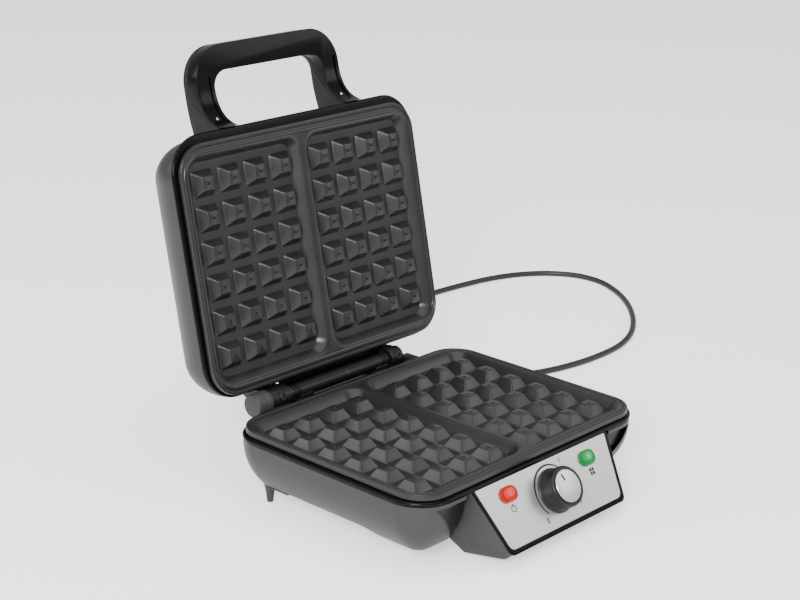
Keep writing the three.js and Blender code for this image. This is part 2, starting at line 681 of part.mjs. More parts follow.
// The lid's hinge arms: a round eye on the pin and a foot screwed to the rear of the lid's shell.
function armShape() {
  const shape = new THREE.Shape();
  const start = THREE.MathUtils.degToRad(160);
  const end = THREE.MathUtils.degToRad(390);
  shape.absarc(HINGE.y, HINGE.z, ARMS.r, start, end, false);
  shape.lineTo(119, 16);
  shape.lineTo(112, 30);
  shape.lineTo(SHELL.halfY + 0.6, 32);
  shape.lineTo(SHELL.halfY + 0.6, 7);
  return shape;
}
[["left", -1], ["right", 1]].forEach(([name, side]) => {
  const [x0, x1] = ARMS[name];
  const screwX = (x0 + x1) / 2;
  const screwHole = rodY(SCREW.hole, screwX, 95, 112, ARM_SCREW_Z);
  const arm = cut(toSolid(alongX(armShape(), x0, x1, 20)), [pinBore, screwHole]);
  place(lid, `hinge_arm_${name}`, arm, blackMatte);

  const innerFace = SHELL.halfY - SHELL.wall - 1.5; // behind the shell's curved wall
  const armShank = rodY(SCREW.shank, screwX, innerFace - 1, 111.6, ARM_SCREW_Z);
  const armHead = rodY(SCREW.head, screwX, innerFace - 2, innerFace, ARM_SCREW_Z);
  place(lid, `arm_screw_${name}`, join([armShank, armHead]), zinc);

  const handleShank = rodY(SCREW.shank, side * HANDLE_SCREW.x, -118, -innerFace + 1.6, HANDLE_SCREW.z);
  const handleHead = rodY(SCREW.head, side * HANDLE_SCREW.x, -innerFace + 0.6, -innerFace + 2.6, HANDLE_SCREW.z);
  place(lid, `handle_screw_${name}`, join([handleShank, handleHead]), zinc);
});

// ---------------------------------------------------------------- mains lead
// A moulded hood behind the shell leads the cord out.
function cordOutlet() {
  const { left, right, top, bottom, rear } = OUTLET;
  const radius = 5;
  const upper = roundedTop(left, right, -12, top, radius, 106.2, rear);
  const lower = block(left, right, 92, rear, bottom, -11.9);
  return cut(join([upper, lower]), [
    bowl(BASE_BOWL, -FIT, -1, -11, SHELL.line),
    block(left - 1, right + 1, 90, 106.2, -11.95, 0),
    rodY(7, CORD.exitX, 80, 130, CORD.exitZ, 20),
  ]);
}

// A block whose top edges along Y are rounded.
function roundedTop(x0, x1, z0, z1, radius, y0, y1) {
  const shape = new THREE.Shape();
  shape.moveTo(x0, z0);
  shape.lineTo(x1, z0);
  shape.lineTo(x1, z1 - radius);
  shape.absarc(x1 - radius, z1 - radius, radius, 0, Math.PI / 2, false);
  shape.absarc(x0 + radius, z1 - radius, radius, Math.PI / 2, Math.PI, false);
  return slab(shape, -y1, -y0).rotateX(Math.PI / 2);
}
place(base, "cord_outlet", cordOutlet(), blackMatte);

// The strain relief: a collar inside the shell and a sleeve that tapers to the cord.
function cordGland() {
  const inside = 79;
  const sleeve = turned([
    [0, inside], [8, inside], [8, inside + 3], [6.4, inside + 3], [6.4, 119], [5.8, 121], [4.1, CORD.glandEnd],
    [0, CORD.glandEnd],
  ], 20);
  return sleeve.rotateX(-Math.PI / 2).translate(CORD.exitX, 0, CORD.exitZ);
}
place(base, "cord_gland", cordGland(), rubber);

const LYING = FEET_Z + CORD.d / 2; // the cord's middle where it lies on the table
const PLUG = { x: 128, y: 336, r: 17.5, length: 42, pinR: 2.4, pinLength: 19, pinSpacing: 19 };
const CORD_ROUTE = [
  [CORD.exitX, CORD.glandEnd + FIT, CORD.exitZ], [CORD.exitX, CORD.glandEnd + 3, CORD.exitZ],
  [86.4, 152, -37.6], [89, 163, -44], [96, 172, -53], [109, 177, -60.3], [128, 176, LYING],
  [157, 166, LYING], [190, 147, LYING], [225, 124, LYING],
  [263, 105, LYING], [304, 95, LYING], [345, 92.5, LYING], [380, 96, LYING], [412, 107, LYING],
  [441, 124, LYING], [470, 147, LYING], [497, 175, LYING], [518, 205, LYING], [531, 236, LYING],
  [530, 266, LYING], [514, 293, LYING], [488, 313, LYING], [455, 326, LYING], [415, 333, LYING],
  [370, 337, LYING], [325, 339, LYING], [280, 340, LYING], [240, 340, LYING], [205, 339, LYING + 1],
  [175, 337.5, LYING + 5], [153, 336.2, LYING + 11.5], [PLUG.x + 4, PLUG.y, FEET_Z + PLUG.r],
  [PLUG.x + FIT, PLUG.y, FEET_Z + PLUG.r],
];
const cordPath = new THREE.CatmullRomCurve3(CORD_ROUTE.map(([x, y, z]) => new THREE.Vector3(x, y, z)));
place(base, "power_cord", tube(cordPath, CORD.d / 2, 8, 78), flex);

// A moulded mains plug lying on its side, its two pins level with the table.
const plug = new THREE.Group();
plug.position.set(PLUG.x, PLUG.y, FEET_Z + PLUG.r);
plug.rotation.y = -Math.PI / 2; // its own +Z, from cord to pins, points along -X
base.add(plug);
const plugProfile = [[0, 0], [5.5, 0], [6.5, 14], [12, 22], [16.5, 26], [PLUG.r, 28], [PLUG.r, PLUG.length],
  [0, PLUG.length]];
place(plug, "plug_body", turned(plugProfile, 28), blackMatte);
[["left", -1], ["right", 1]].forEach(([name, side]) => {
  const start = PLUG.length + FIT;
  const profile = [[0, start], [PLUG.pinR, start], [PLUG.pinR, start + PLUG.pinLength - 1.4],
    [1.2, start + PLUG.pinLength], [0, start + PLUG.pinLength]];
  const pin = place(plug, `plug_pin_${name}`, turned(profile, 12), zinc);
  pin.position.y = (side * PLUG.pinSpacing) / 2;
});

export default root;
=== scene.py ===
# %% [markdown]
# # A double waffle maker, standing open
# The frame is a packed engineering model in metres: +Z up, -Y the front with the controls. It is loaded
# first and never moved. Every visible piece is then made finer round it, takes the place of the plain
# node it stands for, and rides on the same body, so that the lid and the knob still turn.

# %% Load the frame
import json
import math

import bmesh
import bpy
from mathutils import Matrix, Vector


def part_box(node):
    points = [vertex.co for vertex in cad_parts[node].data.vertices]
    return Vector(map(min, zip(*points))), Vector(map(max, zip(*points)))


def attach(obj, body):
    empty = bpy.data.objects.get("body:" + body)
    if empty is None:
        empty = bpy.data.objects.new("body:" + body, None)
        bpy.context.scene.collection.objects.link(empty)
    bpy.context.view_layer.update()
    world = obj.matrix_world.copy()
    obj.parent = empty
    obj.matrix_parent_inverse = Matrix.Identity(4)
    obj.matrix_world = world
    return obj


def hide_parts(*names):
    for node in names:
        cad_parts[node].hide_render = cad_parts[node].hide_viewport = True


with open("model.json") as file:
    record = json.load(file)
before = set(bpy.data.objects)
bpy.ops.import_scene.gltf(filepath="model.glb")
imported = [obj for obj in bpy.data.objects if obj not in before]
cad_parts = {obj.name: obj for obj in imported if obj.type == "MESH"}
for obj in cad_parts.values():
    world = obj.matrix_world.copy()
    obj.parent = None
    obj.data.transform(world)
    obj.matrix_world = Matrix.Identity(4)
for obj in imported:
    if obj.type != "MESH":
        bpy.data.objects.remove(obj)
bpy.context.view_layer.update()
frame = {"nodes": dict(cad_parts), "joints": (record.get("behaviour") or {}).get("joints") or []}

# %% [markdown]
# ## One working frame in millimetres
# Everything on the appliance is drawn round the middle of the lower plate, at the height of its pyramid
# tops, because the wells, the shells and the hinge are all laid out from there. Drawing in millimetres
# keeps the numbers readable and the booleans exact; the last step of each piece turns it into metres.
# The lid is drawn shut, where it is upright and square, and swung open by its hinge angle.

# %% From the working frame to the row frame
def at(place, degrees=0, axis="X"):
    """A turn about an axis through the origin, then a move."""
    return Matrix.Translation(place) @ Matrix.Rotation(math.radians(degrees), 4, axis)


MM = 0.001
RIM_TOP = 0.3
plate_low, plate_high = (Vector(corner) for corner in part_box("lower_plate"))
ORIGIN = Vector((0, (plate_low.y + plate_high.y) / 2, plate_high.z - RIM_TOP * MM))
TO_ROW = Matrix.Translation(ORIGIN) @ Matrix.Scale(MM, 4)

PLATE_GAP = 4
LID_OPEN = math.radians(max(frame["joints"][0]["range_deg"]))
HINGE = Vector((0, 114.8, 2.3))
ABOUT_HINGE = Matrix.Translation(HINGE) @ Matrix.Rotation(-LID_OPEN, 4, "X") @ Matrix.Translation(-HINGE)
OPEN = TO_ROW @ ABOUT_HINGE
FACE_DOWN = at((0, 0, PLATE_GAP), 180, "Y")
TABLE = -ORIGIN.z / MM
PANEL = at((0, -105, -7.8), 56)
print("working origin:", [round(v, 5) for v in ORIGIN], "table at", round(TABLE, 2), "mm")

# %% [markdown]
# ## Camera, floor and light
# The view comes first: every later choice is judged through it. It stands in front of the machine's
# left corner and looks slightly down, so that the open lid, both wells and the panel show at once.

# %% Camera
scene = bpy.context.scene


def add_object(name, data):
    made = bpy.data.objects.new(name, data)
    scene.collection.objects.link(made)
    return made


camera_data = bpy.data.cameras.new("studio_camera")
camera_data.lens = 80.94
camera_data.sensor_width = 36
camera = add_object("studio_camera", camera_data)
right = Vector((0.68162, -0.73154, 0.01529))
up = Vector((0.22408, 0.22858, 0.94739))
back = Vector((-0.69655, -0.64234, 0.31973))
camera.matrix_world = Matrix.Translation((-1.01329, -0.92825, 0.61771)) @ Matrix(
    (right, up, back)).transposed().to_4x4()
scene.camera = camera
print("camera at", [round(v, 3) for v in camera.matrix_world.translation])

# %% [markdown]
# The floor is a plain pale sheet that looks brighter to the camera than it shines on the machine, so
# the dark coatings keep their depth. One soft light stands behind the left side and a weak one in front
# on the right, a smaller one at the front left picks out the left faces of the pyramids, and a wide one
# overhead with a pale world fills the rest.


# %% Lights and world
def soft_light(name, place, aim, size, power):
    data = bpy.data.lights.new(name, "AREA")
    data.shape = "RECTANGLE"
    data.size, data.size_y = size
    data.energy = power
    light = add_object(name, data)
    light.location = place
    light.rotation_mode = "QUATERNION"
    light.rotation_quaternion = (Vector(aim) - Vector(place)).to_track_quat("-Z", "Y")


soft_light("left_light", (-1.5, 1.15, 1.0), (0, 0, 0.12), (1.3, 0.9), 15)
soft_light("front_light", (1.5, -1.3, 1.05), (0, 0, 0.1), (0.9, 0.7), 6)
soft_light("edge_light", (-1.3, -0.85, 0.95), (0, 0, 0.12), (0.45, 0.45), 34)
soft_light("top_light", (-0.3, -0.2, 2.4), (0, 0, 0), (2.6, 2.6), 42)

world = bpy.data.worlds.new("studio_world")
world.use_nodes = True
background = world.node_tree.nodes["Background"]
background.inputs["Color"].default_value = (1, 1, 1, 1)
background.inputs["Strength"].default_value = 0.6
scene.world = world


# %% Floor
def new_paint(name, values):
    paint = bpy.data.materials.new(name)
    paint.use_nodes = True
    shader = paint.node_tree.nodes["Principled BSDF"]
    for label, value in values.items():
        shader.inputs[label].default_value = value
    return paint, paint.node_tree, shader


FLOOR = 6.0
GLOW_ON_MACHINE, GLOW_IN_VIEW = 0.3, 0.95
floor_mesh = bpy.data.meshes.new("studio_floor")
floor_mesh.from_pydata([(-FLOOR, -FLOOR, 0), (FLOOR, -FLOOR, 0), (FLOOR, FLOOR, 0), (-FLOOR, FLOOR, 0)], [],
                       [(0, 1, 2, 3)])
floor_paint, floor_tree, floor_shader = new_paint(
    "floor_paint", {"Base Color": (0.95, 0.95, 0.95, 1), "Roughness": 0.6, "Emission Color": (1, 1, 1, 1)})
floor_path = floor_tree.nodes.new("ShaderNodeLightPath")
floor_glow = floor_tree.nodes.new("ShaderNodeMapRange")
floor_glow.inputs["To Min"].default_value = GLOW_ON_MACHINE
floor_glow.inputs["To Max"].default_value = GLOW_IN_VIEW
floor_tree.links.new(floor_path.outputs["Is Camera Ray"], floor_glow.inputs["Value"])
floor_tree.links.new(floor_glow.outputs["Result"], floor_shader.inputs["Emission Strength"])
floor_mesh.materials.append(floor_paint)
add_object("studio_floor", floor_mesh)
print("lights and floor are in place")

# %% [markdown]
# ## Effects that several finishes share
# A moulded or coated surface is never one flat value. Three small shader groups carry what they have in
# common: a fine grain for the mouldings, brushing for the metal, and the faint marks that hands and
# cloths leave. Each puts out only heights and masks; the shader itself stays in each finish.


# %% Grain, brushing and handling marks
def new_group(name, family, inputs, output_kind, *outputs):
    group = bpy.data.node_groups.new(name, family)
    for label, kind, value in inputs:
        socket = group.interface.new_socket(label, in_out="INPUT", socket_type=kind)
        if value is not None:
            socket.default_value = value
    for label in outputs:
        group.interface.new_socket(label, in_out="OUTPUT", socket_type=output_kind)
    return group, group.nodes.new("NodeGroupInput"), group.nodes.new("NodeGroupOutput")


SHADER, FLOAT, VECTOR = "ShaderNodeTree", "NodeSocketFloat", "NodeSocketVector"
GEOMETRY_TREE, GEOMETRY = "GeometryNodeTree", "NodeSocketGeometry"


def noise_node(tree, vector, scale, detail=2.0, roughness=0.5):
    node = tree.nodes.new("ShaderNodeTexNoise")
    node.inputs["Detail"].default_value = detail
    node.inputs["Roughness"].default_value = roughness
    tree.links.new(vector, node.inputs["Vector"])
    if isinstance(scale, (int, float)):
        node.inputs["Scale"].default_value = scale
    else:
        tree.links.new(scale, node.inputs["Scale"])
    return node.outputs[0]


def maths(tree, operation, first, second):
    node = tree.nodes.new("ShaderNodeMath")
    node.operation = operation
    for socket, value in zip(node.inputs, (first, second)):
        if isinstance(value, (int, float)):
            socket.default_value = value
        else:
            tree.links.new(value, socket)
    return node.outputs[0]


grain, grain_in, grain_out = new_group(
    "moulded_grain", SHADER, [("Vector", VECTOR, None), ("Scale", FLOAT, 1800.0)], FLOAT, "Height", "Mottle")
fine_scale = grain_in.outputs["Scale"]
broad_scale = maths(grain, "MULTIPLY", fine_scale, 0.02)
for scale, detail, output in ((fine_scale, 3, grain_out.inputs[0]), (broad_scale, 4, grain_out.inputs[1])):
    grain.links.new(noise_node(grain, grain_in.outputs["Vector"], scale, detail), output)

brushing, brushing_in, brushing_out = new_group(
    "brushing", SHADER, [("Vector", VECTOR, None), ("Stretch", VECTOR, (20.0, 1400.0, 1400.0))],
    FLOAT, "Height", "Streak")
stretched = brushing.nodes.new("ShaderNodeVectorMath")
stretched.operation = "MULTIPLY"
brushing.links.new(brushing_in.outputs["Vector"], stretched.inputs[0])
brushing.links.new(brushing_in.outputs["Stretch"], stretched.inputs[1])
brushing.links.new(noise_node(brushing, stretched.outputs[0], 1.0, 4, 0.6), brushing_out.inputs[0])
brushing.links.new(noise_node(brushing, stretched.outputs[0], 0.22, 2), brushing_out.inputs[1])

handling, handling_in, handling_out = new_group(
    "handling_marks", SHADER, [("Vector", VECTOR, None), ("Size", FLOAT, 22.0)], FLOAT, "Smudge")
marks = noise_node(handling, handling_in.outputs["Vector"], handling_in.outputs["Size"], 5, 0.62)
marks_range = handling.nodes.new("ShaderNodeMapRange")
marks_range.inputs["From Min"].default_value = 0.42
marks_range.inputs["From Max"].default_value = 0.68
handling.links.new(marks, marks_range.inputs["Value"])
handling.links.new(marks_range.outputs["Result"], handling_out.inputs[0])
print("shader groups:", [g.name for g in bpy.data.node_groups])


# %% Placing a group, and mixing a base colour between two tints
def placed(tree, group, where, **values):
    node = tree.nodes.new("ShaderNodeGroup")
    node.node_tree = group
    for label, value in values.items():
        node.inputs[label].default_value = value
    tree.links.new(where, node.inputs["Vector"])
    return node


def tinted(tree, shader, amount, dark, light):
    tint = tree.nodes.new("ShaderNodeMix")
    tint.data_type = "RGBA"
    tint.inputs[6].default_value = (*dark, 1)
    tint.inputs[7].default_value = (*light, 1)
    tree.links.new(amount, tint.inputs[0])
    tree.links.new(tint.outputs[2], shader.inputs["Base Color"])


# %% [markdown]
# ## Finishes
# One function lays out every opaque finish: a base colour that mottles a little, a roughness that the
# handling marks disturb, and a bump from the grain or the brushing. The finishes then differ only in
# their values.


def finish(name, colour, roughness, metallic=0.0, grain_scale=None, depth=0.00002, stretch=None,
           mottle=0.12, smudge=0.06, specular=0.5, coat=0.0):
    made, tree, shader = new_paint(name, {"Metallic": metallic, "Specular IOR Level": specular,
                                          "Coat Weight": coat, "Coat Roughness": 0.08})
    where = tree.nodes.new("ShaderNodeTexCoord").outputs["Object"]
    if stretch is None:
        surface = placed(tree, grain, where, Scale=grain_scale)
    else:
        surface = placed(tree, brushing, where, Stretch=stretch)
    touched = placed(tree, handling, where)
    tinted(tree, shader, surface.outputs[1], [c * (1 - mottle) for c in colour],
           [min(1, c * (1 + mottle)) for c in colour])
    tree.links.new(maths(tree, "ADD", maths(tree, "MULTIPLY", touched.outputs[0], smudge), roughness),
                   shader.inputs["Roughness"])
    bump = tree.nodes.new("ShaderNodeBump")
    bump.inputs["Strength"].default_value = 1.0
    bump.inputs["Distance"].default_value = depth
    tree.links.new(surface.outputs[0], bump.inputs["Height"])
    tree.links.new(bump.outputs["Normal"], shader.inputs["Normal"])
    return made


# %% The finishes of this machine
satin_steel = finish("satin_steel", (0.062, 0.06, 0.057), 0.36, 0.85,
                     stretch=(60, 60, 2600), depth=0.000012, mottle=0.06)
gloss_black = finish("gloss_black", (0.0018, 0.0018, 0.002), 0.2, grain_scale=900,
                     depth=0.000006, specular=0.14)
matte_black = finish("matte_black", (0.005, 0.005, 0.0052), 0.36, grain_scale=2600,
                     specular=0.35)
box_grey = finish("box_grey", (0.036, 0.035, 0.0335), 0.5, grain_scale=3000,
                  depth=0.00003, specular=0.35)
handle_grey = finish("handle_grey", (0.007, 0.0069, 0.0067), 0.5, grain_scale=3200,
                     depth=0.00003, specular=0.26)
non_stick = finish("non_stick", (0.014, 0.014, 0.0145), 0.3, grain_scale=2200,
                   depth=0.00003, mottle=0.3, smudge=0.08, specular=0.42)
brushed_metal = finish("brushed_metal", (0.60, 0.595, 0.58), 0.36, 0.8,
                       stretch=(25, 3200, 3200), depth=0.00001, mottle=0.07)
cap_metal = finish("cap_metal", (0.66, 0.655, 0.645), 0.3, 0.9,
                   stretch=(25, 3200, 3200), depth=0.00001, mottle=0.07)
heater_brown = finish("heater_brown", (0.10, 0.072, 0.055), 0.5, 0.8, grain_scale=1200,
                      depth=0.00003, mottle=0.4)
rolled_aluminium = finish("rolled_aluminium", (0.5, 0.505, 0.51), 0.4, 0.95,
                          stretch=(30, 1800, 1800))
zinc_plate = finish("zinc_plate", (0.42, 0.425, 0.43), 0.3, 0.95, grain_scale=1500)
nickel = finish("nickel", (0.6, 0.585, 0.55), 0.2, 1.0, grain_scale=900, depth=0.000008)
foot_rubber = finish("foot_rubber", (0.014, 0.014, 0.014), 0.75, grain_scale=2400, depth=0.00005)
cord_jacket = finish("cord_jacket", (0.012, 0.012, 0.012), 0.42, grain_scale=2000,
                     depth=0.00003)
ceramic_white = finish("ceramic_white", (0.72, 0.68, 0.6), 0.5, grain_scale=1400, depth=0.00004)
print_black = finish("print_black", (0.01, 0.01, 0.01), 0.5, grain_scale=3000,
                     depth=0.00001)
print("finishes:", len(bpy.data.materials))

# %% [markdown]
# ## Drawing helpers
# Nearly every moulding here is a stack of outlines: a shell is a stack of rounded rectangles, a knob a
# stack of circles, a rod two circles. So there is one lofting function, with a few ways to make the
# outlines, and Blender's booleans and bevels finish what the stack can't say.


# %% Outlines, as points in millimetres
def rounded(half_x, half_y, radius, steps=12, middle=(0, 0)):
    points = []
    for corner, (sx, sy) in enumerate([(1, 1), (-1, 1), (-1, -1), (1, -1)]):
        for i in range(steps + 1):
            angle = math.radians(90 * (corner + i / steps))
            points.append((middle[0] + sx * (half_x - radius) + radius * math.cos(angle),
                           middle[1] + sy * (half_y - radius) + radius * math.sin(angle)))
    return points


def circle(radius, count=48):
    turns = [2 * math.pi * i / count for i in range(count)]
    return [(radius * math.cos(turn), radius * math.sin(turn)) for turn in turns]


def bezier(a, b, c, d, steps=16):
    points = []
    for i in range(1, steps + 1):
        t = i / steps
        weights = ((1 - t) ** 3, 3 * t * (1 - t) ** 2, 3 * t * t * (1 - t), t ** 3)
        points.append(tuple(sum(w * p[k] for w, p in zip(weights, (a, b, c, d))) for k in (0, 1)))
    return points


def arc(x, y, radius, start, end, steps=12):
    turns = [math.radians(start + (end - start) * i / steps) for i in range(steps + 1)]
    return [(x + radius * math.cos(turn), y + radius * math.sin(turn)) for turn in turns]


def level(points, z):
    return [(x, y, z) for x, y in points]


# %% Meshes from stacks of outlines
def mesh_object(name, vertices, faces):
    mesh = bpy.data.meshes.new(name)
    mesh.from_pydata([tuple(v) for v in vertices], [], faces)
    work = bmesh.new()
    work.from_mesh(mesh)
    bmesh.ops.remove_doubles(work, verts=work.verts, dist=1e-4)
    bmesh.ops.recalc_face_normals(work, faces=work.faces)
    work.to_mesh(mesh)
    work.free()
    return add_object(name, mesh)


def released(name, work):
    """The working mesh as a new object."""
    mesh = bpy.data.meshes.new(name)
    work.to_mesh(mesh)
    work.free()
    return add_object(name, mesh)


def loft(name, rings, ring_shaped=False, pose=None):
    count = len(rings[0])
    vertices = [point for ring in rings for point in ring]
    faces = []
    last = len(rings) if ring_shaped else len(rings) - 1
    for r in range(last):
        low, high = r * count, ((r + 1) % len(rings)) * count
        for i in range(count):
            j = (i + 1) % count
            faces.append((low + i, low + j, high + j, high + i))
    if not ring_shaped:
        faces.append(tuple(reversed(range(count))))
        faces.append(tuple(range((len(rings) - 1) * count, len(rings) * count)))
    made = mesh_object(name, vertices, faces)
    if pose is not None:
        made.data.transform(pose)
    return made


def turned(name, profile, count=64, hollow=False, pose=None):
    return loft(name, [level(circle(max(radius, 0.001), count), z) for radius, z in profile], hollow, pose)


def slab(name, outline, z0, z1, pose=None):
    return loft(name, [level(outline, z0), level(outline, z1)], pose=pose)


def along_x(name, outline, x0, x1):
    return loft(name, [[(x, y, z) for y, z in outline] for x in (x0, x1)])


def block(name, x0, x1, y0, y1, z0, z1):
    return slab(name, [(x0, y0), (x1, y0), (x1, y1), (x0, y1)], z0, z1)


def rod_x(name, radius, x0, x1, y, z):
    return turned(name, [(radius, x0), (radius, x1)], 48, pose=at((0, y, z), 90, "Y"))


def rod_y(name, radius, x, y0, y1, z):
    return turned(name, [(radius, y0), (radius, y1)], 32, pose=at((x, 0, z), -90))


# %% Cutting, joining, bevelling
def settle(piece):
    """The result of the piece's modifiers becomes its mesh."""
    graph = bpy.context.evaluated_depsgraph_get()
    mesh = bpy.data.meshes.new_from_object(piece.evaluated_get(graph))
    piece.modifiers.clear()
    old = piece.data
    piece.data = mesh
    bpy.data.meshes.remove(old)
    return piece


def combine(piece, operation, others):
    for other in others:
        modifier = piece.modifiers.new(operation, "BOOLEAN")
        modifier.operation = operation
        modifier.solver = "EXACT"
        modifier.object = other
        settle(piece)
        bpy.data.objects.remove(other)
    return piece


def cut(piece, *others):
    return combine(piece, "DIFFERENCE", others)


def bevel(piece, width, segments, angle, merge=1e-3, flat=0.4):
    """Rounds edges sharper than angle, once close points are merged and flat edges dissolved."""
    work = bmesh.new()
    work.from_mesh(piece.data)
    bmesh.ops.remove_doubles(work, verts=work.verts, dist=merge)
    bmesh.ops.dissolve_limit(work, angle_limit=math.radians(flat), verts=work.verts, edges=work.edges)
    work.to_mesh(piece.data)
    work.free()
    modifier = piece.modifiers.new("edges", "BEVEL")
    modifier.width = width
    modifier.segments = segments
    modifier.limit_method = "ANGLE"
    modifier.angle_limit = math.radians(angle)
    return settle(piece)


def refined(node, width, segments, angle):
    """A copy of a plain node's mesh in the row frame, with its edges rounded by width in metres."""
    made = add_object(node + "_fine", frame["nodes"][node].data.copy())
    return bevel(made, width, segments, angle, 1e-6, 0.6)


# %% The last step of every piece
IN_ROW = Matrix.Identity(4)


def smoothed(piece):
    for face in piece.data.polygons:
        face.material_index = 0
        face.use_smooth = True
    return piece


def hand_over(piece, paint, body, *nodes, into=TO_ROW, crease=32):
    mesh = smoothed(piece).data
    mesh.transform(into)
    mesh.materials.clear()
    mesh.materials.append(paint)
    mesh.set_sharp_from_angle(angle=math.radians(crease))
    mesh.update()
    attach(piece, body)
    if nodes:
        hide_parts(*nodes)
    print(f"{piece.name}: {len(mesh.polygons)} faces for {', '.join(nodes) or 'print'}")
    return piece


# %% [markdown]
# ## The mains lead
# The lead leaves a rubber sleeve at the rear right, drops to the table, runs forward and out in one wide
# sweep and comes back behind the machine to its plug. It is a tube swept along a smooth curve through
# chosen points.

# %% The route and its curve
CORD_D = 6
EXIT = Vector((86, 140.3, -35))
LYING = TABLE + CORD_D / 2
PLUG_X, PLUG_Y, PLUG_R, PLUG_LENGTH = 128, 336, 17.5, 42
ON_TABLE = [(128, 176), (157, 166), (190, 147), (225, 124), (263, 105), (304, 95), (345, 92.5), (380, 96),
            (412, 107), (441, 124), (470, 147), (497, 175), (518, 205), (531, 236), (530, 266), (514, 293),
            (488, 313), (455, 326), (415, 333), (370, 337), (325, 339), (280, 340), (240, 340)]
CORD_ROUTE = [tuple(EXIT), (86, 143, -35), (86.4, 152, -37.6), (89, 163, -44), (96, 172, -53),
              (109, 177, -60.3), *[(x, y, LYING) for x, y in ON_TABLE], (205, 339, LYING + 1),
              (175, 337.5, LYING + 5), (153, 336.2, LYING + 11.5), (PLUG_X + 4, PLUG_Y, TABLE + PLUG_R),
              (PLUG_X + 0.3, PLUG_Y, TABLE + PLUG_R)]


def smooth_route(points, per_span=12):
    """A centripetal Catmull-Rom curve through the points."""
    points = [Vector(p) for p in points]
    ends = [2 * points[0] - points[1], *points, 2 * points[-1] - points[-2]]
    line = []
    for i in range(1, len(ends) - 2):
        p0, p1, p2, p3 = ends[i - 1:i + 3]
        t1 = (p1 - p0).length ** 0.5
        t2 = t1 + (p2 - p1).length ** 0.5
        t3 = t2 + (p3 - p2).length ** 0.5
        for k in range(per_span):
            t = t1 + (t2 - t1) * k / per_span
            a1 = p0 * ((t1 - t) / t1) + p1 * (t / t1)
            a2 = p1 * ((t2 - t) / (t2 - t1)) + p2 * ((t - t1) / (t2 - t1))
            a3 = p2 * ((t3 - t) / (t3 - t2)) + p3 * ((t - t2) / (t3 - t2))
            b1 = a1 * ((t2 - t) / t2) + a2 * (t / t2)
            b2 = a2 * ((t3 - t) / (t3 - t1)) + a3 * ((t - t1) / (t3 - t1))
            line.append(b1 * ((t2 - t) / (t2 - t1)) + b2 * ((t - t1) / (t2 - t1)))
    return [*line, points[-1]]


def swept(name, line, radius, count=20):
    rings = []
    side = Vector((1, 0, 0)) if abs((line[1] - line[0]).normalized().x) < 0.9 else Vector((0, 0, 1))
    for i, here in enumerate(line):
        along = (line[min(i + 1, len(line) - 1)] - line[max(i - 1, 0)]).normalized()
        side = (side - along * side.dot(along)).normalized()
        other = along.cross(side)
        rings.append([here + radius * (math.cos(2 * math.pi * k / count) * side
                                       + math.sin(2 * math.pi * k / count) * other) for k in range(count)])
    return loft(name, rings)


cord_line = smooth_route(CORD_ROUTE)
mains_lead = swept("mains_lead", cord_line, CORD_D / 2)
hand_over(mains_lead, cord_jacket, "base", "power_cord")

# %% [markdown]
# The plug is a turned moulding with finger grooves, lying on its side, and the sleeve at the other end
# is rubber with ribs that let it bend. Both are stacks of circles whose radius follows a rule.

# %% Plug, pins and strain relief
PLUG_FRAME = at((PLUG_X, PLUG_Y, TABLE + PLUG_R), -90, "Y")
collar = [(5.4 - 0.5 * (k % 2), 0.2 + 13.2 * k / 9) for k in range(10)]
plug_profile = [(0, 0), *collar, (6.9, 14.6), (9.4, 18.4), (12, 21.6), (15.4, 24.6),
                (16.9, 26.6), (17.4, 28.6)]
for k in range(4):
    groove = 30.5 + k * 2.1
    plug_profile += [(17.4, groove), (16.9, groove + 0.5), (16.9, groove + 0.9), (17.4, groove + 1.4)]
plug_profile += [(17.4, PLUG_LENGTH - 1.4), (16.9, PLUG_LENGTH - 0.5), (15.9, PLUG_LENGTH), (0, PLUG_LENGTH)]
mains_plug = turned("mains_plug", plug_profile, pose=PLUG_FRAME)
hand_over(mains_plug, matte_black, "base", "plug_body")

PIN_R, PIN_LENGTH = 2.4, 19
for name in ("left", "right"):
    start = PLUG_LENGTH + 0.3
    profile = [(0, start), (PIN_R, start), (PIN_R, start + 10), (PIN_R - 0.15, start + 10.1),
               (PIN_R - 0.15, start + PIN_LENGTH - 1.8), (1.7, start + PIN_LENGTH - 0.5),
               (0.9, start + PIN_LENGTH), (0, start + PIN_LENGTH)]
    pin = turned(f"plug_contact_{name}", profile, 32, pose=PLUG_FRAME)
    low, high = (Vector(corner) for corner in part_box(f"plug_pin_{name}"))
    middle = (low + high) / 2 - ORIGIN
    pin.data.transform(Matrix.Translation((0, middle.y / MM - PLUG_Y, middle.z / MM - TABLE - PLUG_R)))
    hand_over(pin, nickel, "base", f"plug_pin_{name}")

sleeve_profile = [(0, 79), (8, 79), (8, 82), (6.4, 82), (6.4, 119)]
for k in range(8):
    start, radius = 120.5 + k * 2.3, 5.9 - 0.2 * k
    sleeve_profile += [(radius, start), (radius, start + 1.3), (radius - 0.6, start + 1.6),
                       (radius - 0.6, start + 2.1)]
sleeve_profile += [(4.1, 139.2), (3.8, 140), (0, 140)]
strain_relief = turned("strain_relief", sleeve_profile, 40, pose=at((EXIT.x, 0, EXIT.z), -90))
hand_over(strain_relief, foot_rubber, "base", "cord_gland")

# %% [markdown]
# ## Shells
# Each shell is deep-drawn from sheet: straight at its rim and then curved in like a quarter ellipse all
# round. One rule gives both shells. The outer and inner stacks are drawn as solids and subtracted, so
# that the wall has its real 1.2 mm and its cut edges show.

# %% The drawn bowl
SHELL_HALF_X, SHELL_HALF_Y, SHELL_RADIUS = 136, 105, 31
SHELL_RIM, SHELL_LINE, SHELL_WALL = -8.8, -12, 1.2
REACH, DROP = 60, 54
HEM_Z = -47


